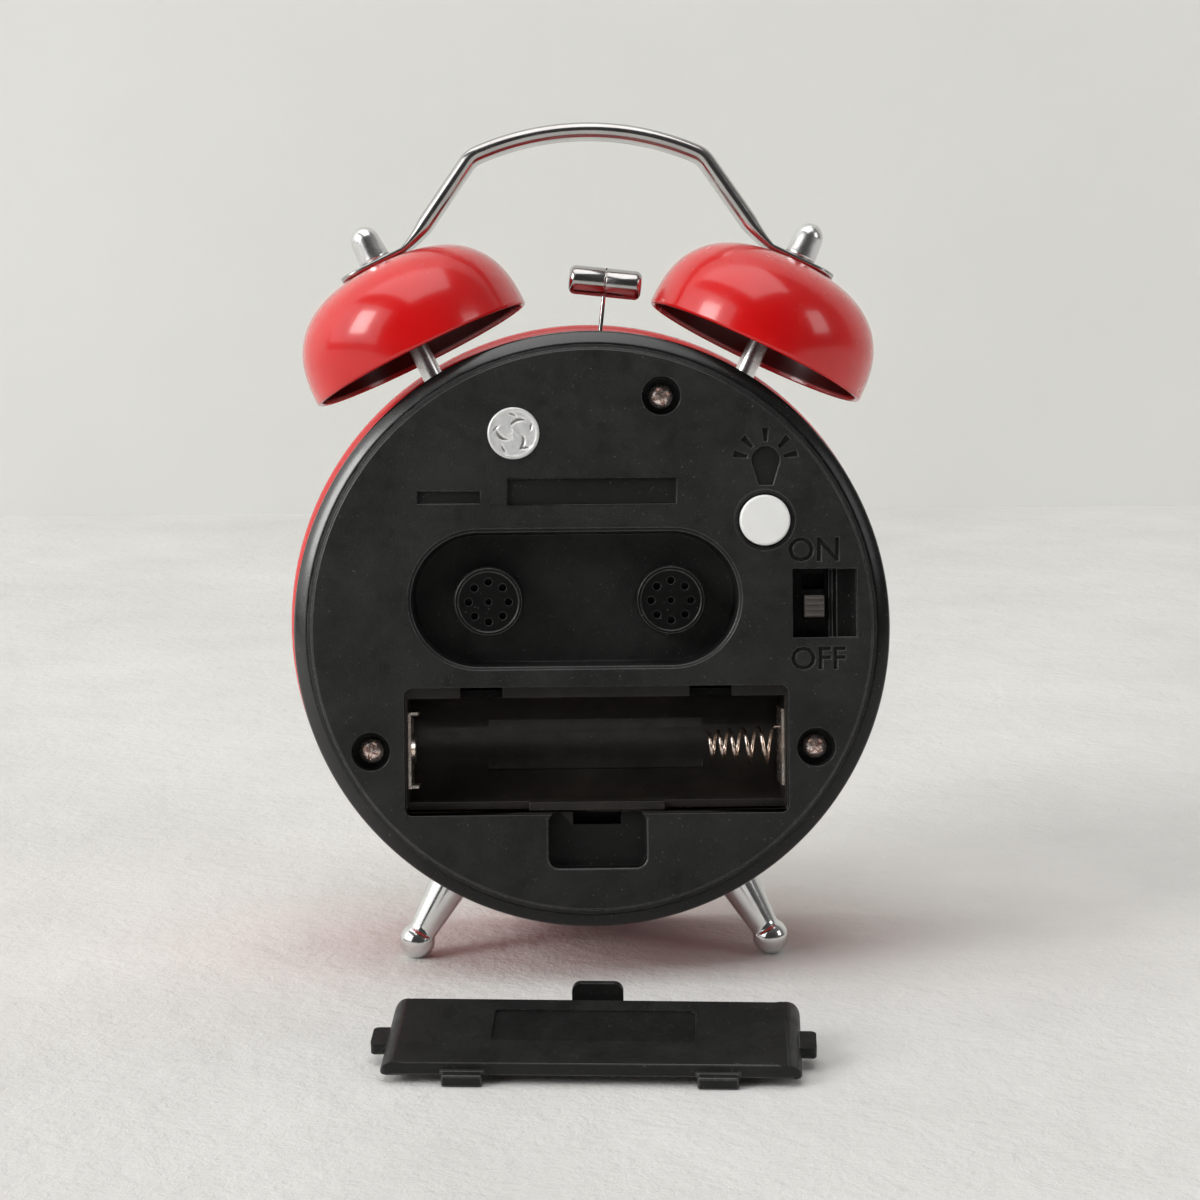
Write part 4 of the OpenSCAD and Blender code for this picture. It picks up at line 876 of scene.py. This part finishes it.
def letters(text, at, height, depth, weight=0.0):
    """Letters as a closed mesh through the panel's face: their middle is at a place on it."""
    curve = bpy.data.curves.new("letters", "FONT")
    curve.body = text
    curve.align_x, curve.align_y = "CENTER", "CENTER"
    curve.size = height / CAP_SHARE
    curve.offset = weight
    curve.extrude = depth
    curve.resolution_u = 3
    holder = put("letters", curve)
    graph = bpy.context.evaluated_depsgraph_get()
    mesh = bpy.data.meshes.new_from_object(holder.evaluated_get(graph))
    bpy.data.objects.remove(holder)
    bpy.data.curves.remove(curve)
    face = Matrix(((1, 0, 0, at[0]), (0, 0, -1, 0), (0, 1, 0, at[1]), (0, 0, 0, 1)))
    mesh.transform(CLOCK @ face)
    bm = bmesh.new()
    bm.from_mesh(mesh)
    bmesh.ops.remove_doubles(bm, verts=bm.verts, dist=MERGE)
    bmesh.ops.recalc_face_normals(bm, faces=bm.faces)
    bm.to_mesh(mesh)
    bm.free()
    return mesh


def lamp_marks():
    """A plain lamp sign: a bulb that narrows to the button, with five rays."""
    x, z = BULB_AT
    bulb = [(x + a, z + b) for a, b in (polar(BULB_R, d) for d in range(-30, 211, 15))]
    marks = [prism(bulb + [(x - BULB_NECK, BULB_END), (x + BULB_NECK, BULB_END)], MARK_DEPTH)]
    for way in RAYS:
        sx, sz = polar(1, way + 90)
        ray = []
        for (r, half), side in ((RAY_NEAR, 1), (RAY_FAR, 1), (RAY_FAR, -1), (RAY_NEAR, -1)):
            a, b = polar(r, way)
            ray.append((x + a + side * half * sx, z + b + side * half * sz))
        marks.append(prism(ray, MARK_DEPTH))
    return marks


def back_marks():
    """Closed meshes of all that is sunk into the back: the lamp sign, label bars and letters."""
    marks = lamp_marks()
    marks += [prism([(a, c), (b, c), (b, d), (a, d)], LABEL_DEPTH) for a, b, c, d in LABELS]
    marks += [letters(text, at, height, MARK_DEPTH, LETTER_WEIGHT) for text, at, height in SWITCH_WORDS]
    return marks


# Rim of the back: the solid's shoulder as a smooth bead whose slope turns slowly in the middle.
# Its turns are slopes in degrees by distances along its skin. Its edge, start and hidden root are
# placed from the crown of the shoulder, outwards and in depth
BACK_R = 45
BEAD_R = 1.7
BEAD_Y = 2.95
BEAD_SUNK = 0.5
BEAD_TURNS = ((0, 0), (0.45, 26), (2.05, 40), (2.98, 90))
BEAD_STEP = 0.05
BEAD_EDGE = (-0.8, -0.1)
BEAD_START = (-0.42, -0.05)
BEAD_ROOT = (-0.5, 1.1)
RIM_END = 4.98
RIM_PROUD = 0.03
RIM_T = 1
RIM_TURNS = 240
# Room for finding the shoulder's points: under its round, over it and past its ends
SHOULDER_ROOM = (0.2, 0.1, 0.05)


def bead_slope(along):
    """Slope of the bead, in degrees, at a distance along its skin."""
    for (a, low), (b, high) in zip(BEAD_TURNS, BEAD_TURNS[1:]):
        if along <= b:
            return low + (high - low) * (along - a) / (b - a)
    return BEAD_TURNS[-1][1]


def make_rim():
    """Glossy bead round the back, one closed ring, with its material's painted highlight on the upper left."""
    middle, crown = BACK_R - BEAD_R, BEAD_Y - BEAD_R
    edge, start, root = ((middle + out, crown + deep) for out, deep in (BEAD_EDGE, BEAD_START, BEAD_ROOT))
    bead = [start]
    while BEAD_STEP * len(bead) <= BEAD_TURNS[-1][0]:
        c, s = polar(BEAD_STEP, bead_slope(BEAD_STEP * (len(bead) - 0.5)))
        bead.append((bead[-1][0] + c, bead[-1][1] + s))
    profile = [edge, *bead, (BACK_R + RIM_PROUD, RIM_END), (BACK_R - RIM_T, RIM_END), root]
    points = []
    for i in range(RIM_TURNS):
        for r, y in profile:
            c, s = polar(r, 360 * i / RIM_TURNS)
            points.append((c, y, s))
    mesh = mesh_from("rim_bead", points, tube_faces(RIM_TURNS, len(profile), closed=True))
    add_piece("rim_bead", mesh, "black_plastic", finish=("rim_black",))


# Back: boxes of the panel, with the depths from which their faces take painted shade, or in the bay a painted
# reflection
BACK_FINISH = ("black_plastic", "worn_edge", "sunk_black", "deep_black", "bay_black")
BACK_ROUND = 0.1
FINGER = (-7.2, 8.1, -36.6, -28.1)
FINGER_FROM = 0.15
FINGER_ROUND = 0.35
SCOOP = (29.6, 41.3, -1.9, 9.7)
SCOOP_FROM = 0.1
NOTCHES = ((-20.2, -12.8, -11.4, -8.2), (14.4, 21.8, -11.4, -8.2))
NOTCH_FROM = 0.9
BAY = (-28.75, 29.65, -28.05, -8.25)
BAY_FROM = 1.6
PANEL_ROOM = 0.02


def within(spot, box):
    """Whether a place is inside a box of the panel."""
    return box[0] < spot.x < box[1] and box[2] < spot.z < box[3]


def cut_back():
    """The back's solid with its marks cut out, as a bmesh."""
    start = to_mesh("back_start", solid_copy("back_cover"))
    for kind in BACK_FINISH:
        start.materials.append(materials[kind])
    shell = put("back_start", start)
    holders = []
    for mark in back_marks():
        # The sunk marks take the darker finish, a painted shade
        mark.polygons.foreach_set("material_index", [SUNK] * len(mark.polygons))
        holder = put("cutter", mark)
        cut = shell.modifiers.new("cut", "BOOLEAN")
        cut.operation = "DIFFERENCE"
        cut.solver = "EXACT"
        cut.object = holder
        holders.append(holder)
    graph = bpy.context.evaluated_depsgraph_get()
    mesh = bpy.data.meshes.new_from_object(shell.evaluated_get(graph))
    for holder in (*holders, shell):
        bpy.data.objects.remove(holder)
    bm = bmesh.new()
    bm.from_mesh(mesh)
    return bm


def round_finger(bm):
    """Rounds the upper edge of the finger recess, where it is rubbed bright."""
    join_flats(bm)
    edges = []
    for edge in bm.edges:
        spots = [INWARD @ vert.co for vert in edge.verts]
        on_panel = all(abs(spot.y) < PANEL_ROOM and within(spot, FINGER) for spot in spots)
        if on_panel and is_corner(edge, STEEP_ANGLE):
            edges.append(edge)
    round_edges(bm, edges, FINGER_ROUND, 4)


def sink_shoulder(bm):
    """Draws the shell's round shoulder in, so that the bead covers it."""
    middle = BACK_R - BEAD_R
    share = (BEAD_R - BEAD_SUNK) / BEAD_R
    under, over, beside = SHOULDER_ROOM
    moves = {}
    for vert in bm.verts:
        spot = INWARD @ vert.co
        r = math.hypot(spot.x, spot.z)
        away, deep = r - middle, spot.y - BEAD_Y
        on_round = BEAD_R - under < math.hypot(away, deep) < BEAD_R + over
        if away > -beside and deep < beside and on_round:
            out = (middle + away * share) / r
            moves[vert] = CLOCK @ Vector((spot.x * out, BEAD_Y + deep * share, spot.z * out))
    bmesh.ops.triangulate(bm, faces=list({face for vert in moves for face in vert.link_faces}))
    for vert, spot in moves.items():
        vert.co = spot


def sort_faces(bm):
    """Paints the faces of the back's recesses darker, as shade, and those of the battery bay lighter and warm, as
    a reflection.
    """
    for face in bm.faces:
        spot = INWARD @ face.calc_center_median()
        flat = abs(face.normal.dot(FORWARD)) > NEARLY_ALONG
        worn = face.material_index == WORN
        if spot.y > FINGER_FROM and within(spot, FINGER):
            if not worn or spot.y > FINGER_ROUND:
                face.material_index = SUNK if flat else DEEP
        elif spot.y > SCOOP_FROM and within(spot, SCOOP):
            if not worn:
                face.material_index = DEEP
        elif spot.y > NOTCH_FROM and any(within(spot, notch) for notch in NOTCHES):
            face.material_index = DEEP
        # The bay's faces take the lighter, warm finish, a painted reflection
        elif spot.y > BAY_FROM and within(spot, BAY):
            face.material_index = IN_BAY


def make_back():
    """The moulded back with its sunk signs and softened edges."""
    bm = cut_back()
    round_finger(bm)
    soften(bm, BACK_ROUND)
    sink_shoulder(bm)
    sort_faces(bm)
    even_shading(add_piece("back_shell", to_mesh("back_shell", bm), "black_plastic",
                           instead="back_cover", sharp=38, finish=BACK_FINISH))


# Feet: cones that end in balls, flat where they stand. The cone starts inside the drum
FOOT_ANGLE = 29.5
FOOT_SKIN = 45.697
FOOT_LEN = 10.4
FOOT_ROOT = 2
FOOT_SUNK = 0.35
FOOT_TOP_R = 3.4
FOOT_STUD = 4.6
FOOT_TURNS = 72
CONE_STEPS = (2, 4, 6, 8, 8.6)
NECK_R = 2.15
BALL_R = 2.8
BALL_STEPS = 30


def make_foot(side, node):
    """A turned foot with its stud through the drum."""
    top, ball = FOOT_SKIN - FOOT_SUNK, FOOT_SKIN + FOOT_LEN
    slope = (NECK_R - FOOT_TOP_R) / (FOOT_LEN + FOOT_ROOT - BALL_R / 2)
    cone = [(FOOT_TOP_R + slope * (FOOT_ROOT + h), FOOT_SKIN + h) for h in (-FOOT_SUNK, *CONE_STEPS)]
    neck = math.degrees(math.asin(cone[-1][0] / BALL_R))
    angles = [neck + (180 - neck) * k / BALL_STEPS for k in range(1, BALL_STEPS)]
    round_part = [(s, ball - c) for c, s in (polar(BALL_R, a) for a in angles)]
    profile = [(0, top - FOOT_STUD), (STUD_R, top - FOOT_STUD), (STUD_R, top), *cone, *round_part,
               (0, ball + BALL_R)]
    stand = (CLOCK @ Matrix.Translation((0, MID_Y, 0))
             @ Matrix.Rotation(side * math.radians(180 - FOOT_ANGLE), 4, "Y"))
    mesh = lathe(node + "_turned", profile, FOOT_TURNS, stand)
    for vert in mesh.vertices:
        vert.co.z = max(vert.co.z, 0)
    add_piece(node + "_turned", mesh, "chrome_plate", instead=node)


# Switch slider: ribs for a finger on the front of its nub
SLIDER_ROUND = 0.12
NUB_AT = (33.5, 3.15)
NUB_FRONT = 1.4
RIB_Z = (-1.25, -0.42, 0.42, 1.25)
RIB_REACH = 1.35
RIB_FOOT = (0.02, 0.3)
RIB_TOP = (-0.25, 0.16)


def make_slider():
    """The slider with four ribs on its front, in one mesh."""
    bm = solid_copy("switch_slider")
    soften(bm, SLIDER_ROUND)
    for lift in RIB_Z:
        z = NUB_AT[1] + lift
        section = [(NUB_FRONT + deep, z + side * half)
                   for (deep, half), side in ((RIB_FOOT, -1), (RIB_TOP, -1), (RIB_TOP, 1), (RIB_FOOT, 1))]
        points = [(NUB_AT[0] + x, y, h) for x in (-RIB_REACH, RIB_REACH) for y, h in section]
        bm.from_mesh(mesh_from("rib", points, tube_faces(2, len(section))))
    add_piece("slider_ribbed", to_mesh("slider_ribbed", bm), "black_plastic", "alarm_switch",
              "switch_slider", finish=("slider_grey",))


# Foil seal: a thin disc, with heights and depths of its relief, and shares of its radius. Its two
# sets of strokes have a number of arms, a twist, a sharpness, and a middle and a width
SEAL_AT = (-11.6, 29.55)
SEAL_R = 3.9
SEAL_T = 0.2
SEAL_LEAST = 0.02
SEAL_RIM = 0.12
SEAL_STROKE = 0.22
SEAL_RIPPLE = 0.06
SEAL_EDGE = 0.1
SEAL_RIM_AT = (0.92, 0.06)
SEAL_EDGE_AT = 0.97
RIPPLE_WIDE = 0.35
STROKES = ((3, 7.5, 3, 0.5, 0.2), (5, -9, 4, 0.72, 0.1))
SEAL_RINGS = 40
SEAL_TURNS = 120


def hump(share, middle, width):
    """A smooth hump over a share of the radius, from 0 to 1."""
    return math.exp(-((share - middle) / width) ** 2)


def seal_marks(r, a):
    """Strokes pressed into the foil, from 0 to 1."""
    share = r / SEAL_R
    return max(max(0, math.sin(arms * a + twist * share)) ** power * hump(share, middle, width)
               for arms, twist, power, middle, width in STROKES)


def seal_height(r, a):
    """Relief of the pressed foil, in millimetres above its backing: a rolled rim and pressed strokes."""
    share = r / SEAL_R
    ripple = math.sin(10 * share + 2 * math.sin(2 * a)) * hump(share, 0, RIPPLE_WIDE)
    edge = max(0, share - SEAL_EDGE_AT) / (1 - SEAL_EDGE_AT)
    return (SEAL_T + SEAL_RIM * hump(share, *SEAL_RIM_AT) - SEAL_STROKE * seal_marks(r, a)
            + SEAL_RIPPLE * ripple - SEAL_EDGE * edge)


def make_seal():
    """Pressed foil disc that seals a hole in the back."""
    x, z = SEAL_AT
    points = [(x, -seal_height(0, 0), z)]
    for i in range(1, SEAL_RINGS + 2):
        r = SEAL_R * min(i / SEAL_RINGS, 1)
        for k in range(SEAL_TURNS):
            c, s = polar(r, 360 * k / SEAL_TURNS)
            lift = max(seal_height(r, 2 * math.pi * k / SEAL_TURNS), SEAL_LEAST)
            points.append((x + c, -lift if i <= SEAL_RINGS else 0, z + s))
    rings = [1 + i * SEAL_TURNS for i in range(SEAL_RINGS + 1)]
    faces = fan(0, rings[0], SEAL_TURNS)
    for a, b in zip(rings, rings[1:]):
        faces += band(a, b, SEAL_TURNS)
    faces.append(tuple(rings[-1] + k for k in range(SEAL_TURNS)))
    mesh = mesh_from("seal_disc", points, faces)
    # The strokes are darker than the rest of the foil
    for face in mesh.polygons:
        spot = INWARD @ face.center
        across, up = spot.x - x, spot.z - z
        face.material_index = int(seal_marks(math.hypot(across, up), math.atan2(up, across)) > 0.5)
    add_piece("seal_disc", mesh, "seal_foil", instead="foil_seal", sharp=60,
              finish=("seal_foil", "worn_foil"))


# Dial print. A tick is its half width and its length
DIAL_Y = 30.75
NUMERAL_R = 31.5
NUMERAL_H = 6.2
TRACK_R = 38.4
HOUR_TICK = (0.45, 2.4)
MINUTE_TICK = (0.18, 1.6)
PRINT_T = 0.04


def make_dial_print():
    """Numbers and a minute track on the dial, read from the front."""
    bm = bmesh.new()
    y = DIAL_Y + PRINT_T
    for hour in range(1, 13):
        x, z = polar(NUMERAL_R, 90 + 30 * hour)
        mesh = letters(str(hour), (0, 0), NUMERAL_H, PRINT_T)
        mesh.transform(INWARD)
        mesh.transform(Matrix(((-1, 0, 0, x), (0, -1, 0, y), (0, 0, 1, z), (0, 0, 0, 1))))
        bm.from_mesh(mesh)
    for minute in range(60):
        half, length = MINUTE_TICK if minute % 5 else HOUR_TICK
        tick = bmesh.ops.create_cube(bm, size=1)["verts"]
        bmesh.ops.scale(bm, verts=tick, vec=(2 * half, 2 * PRINT_T, length))
        bmesh.ops.translate(bm, verts=tick, vec=(0, y, TRACK_R - length / 2))
        bmesh.ops.transform(bm, verts=tick, matrix=Matrix.Rotation(math.radians(6 * minute), 4, "Y"))
    bmesh.ops.transform(bm, verts=bm.verts, matrix=CLOCK)
    add_piece("dial_print", to_mesh("dial_print", bm), "hand_black")


# Nodes of the frame whose finish isn't their slot's plain one: the posts are satin, while the drum and the switch
# body take darker copies as painted shade
OWN_FINISH = {"bell_posts": "satin_chrome", "switch_body": "deep_black", "drum": "case_red"}


def dress_nodes():
    """Gives every node of the frame the material of its slot, or a finish of its own."""
    for part in frame["record"]["subparts"]:
        for slot in nodes[part["node"]].material_slots:
            slot.material = materials[OWN_FINISH.get(part["node"], part["material_slot"])]


# Battery cover and knobs: their finishes, with painted shade in the lid's sunk label, and the widths of their
# softened edges in millimetres
LID_FINISH = ("lid_black", "worn_edge", "label_black")
LID_ROUND = 0.3
LID_FINE = 0.08
KNOB_FINISH = ("deep_black", "worn_edge")
KNOB_ROUND = 0.06

bpy.context.scene.view_settings.view_transform = "Standard"
make_camera()
make_light()
make_stage()
materials = make_materials()
dress_nodes()
make_bell(-1, "bell_left")
make_bell(1, "bell_right")
make_handle()
make_spring()
make_back()
make_seal()
make_dial_print()
refine("battery_cover", "black_plastic", LID_FINISH, "battery_cover", LID_ROUND, LID_FINE)
make_slider()
refine("time_knob", "black_plastic", KNOB_FINISH, "time_setting", KNOB_ROUND)
refine("alarm_knob", "black_plastic", KNOB_FINISH, "alarm_setting", KNOB_ROUND)
refine("bell_nuts", "chrome_plate", ("satin_chrome",))
make_hammer_head()
make_screws()
make_foot(-1, "foot_left")
make_foot(1, "foot_right")
make_rim()
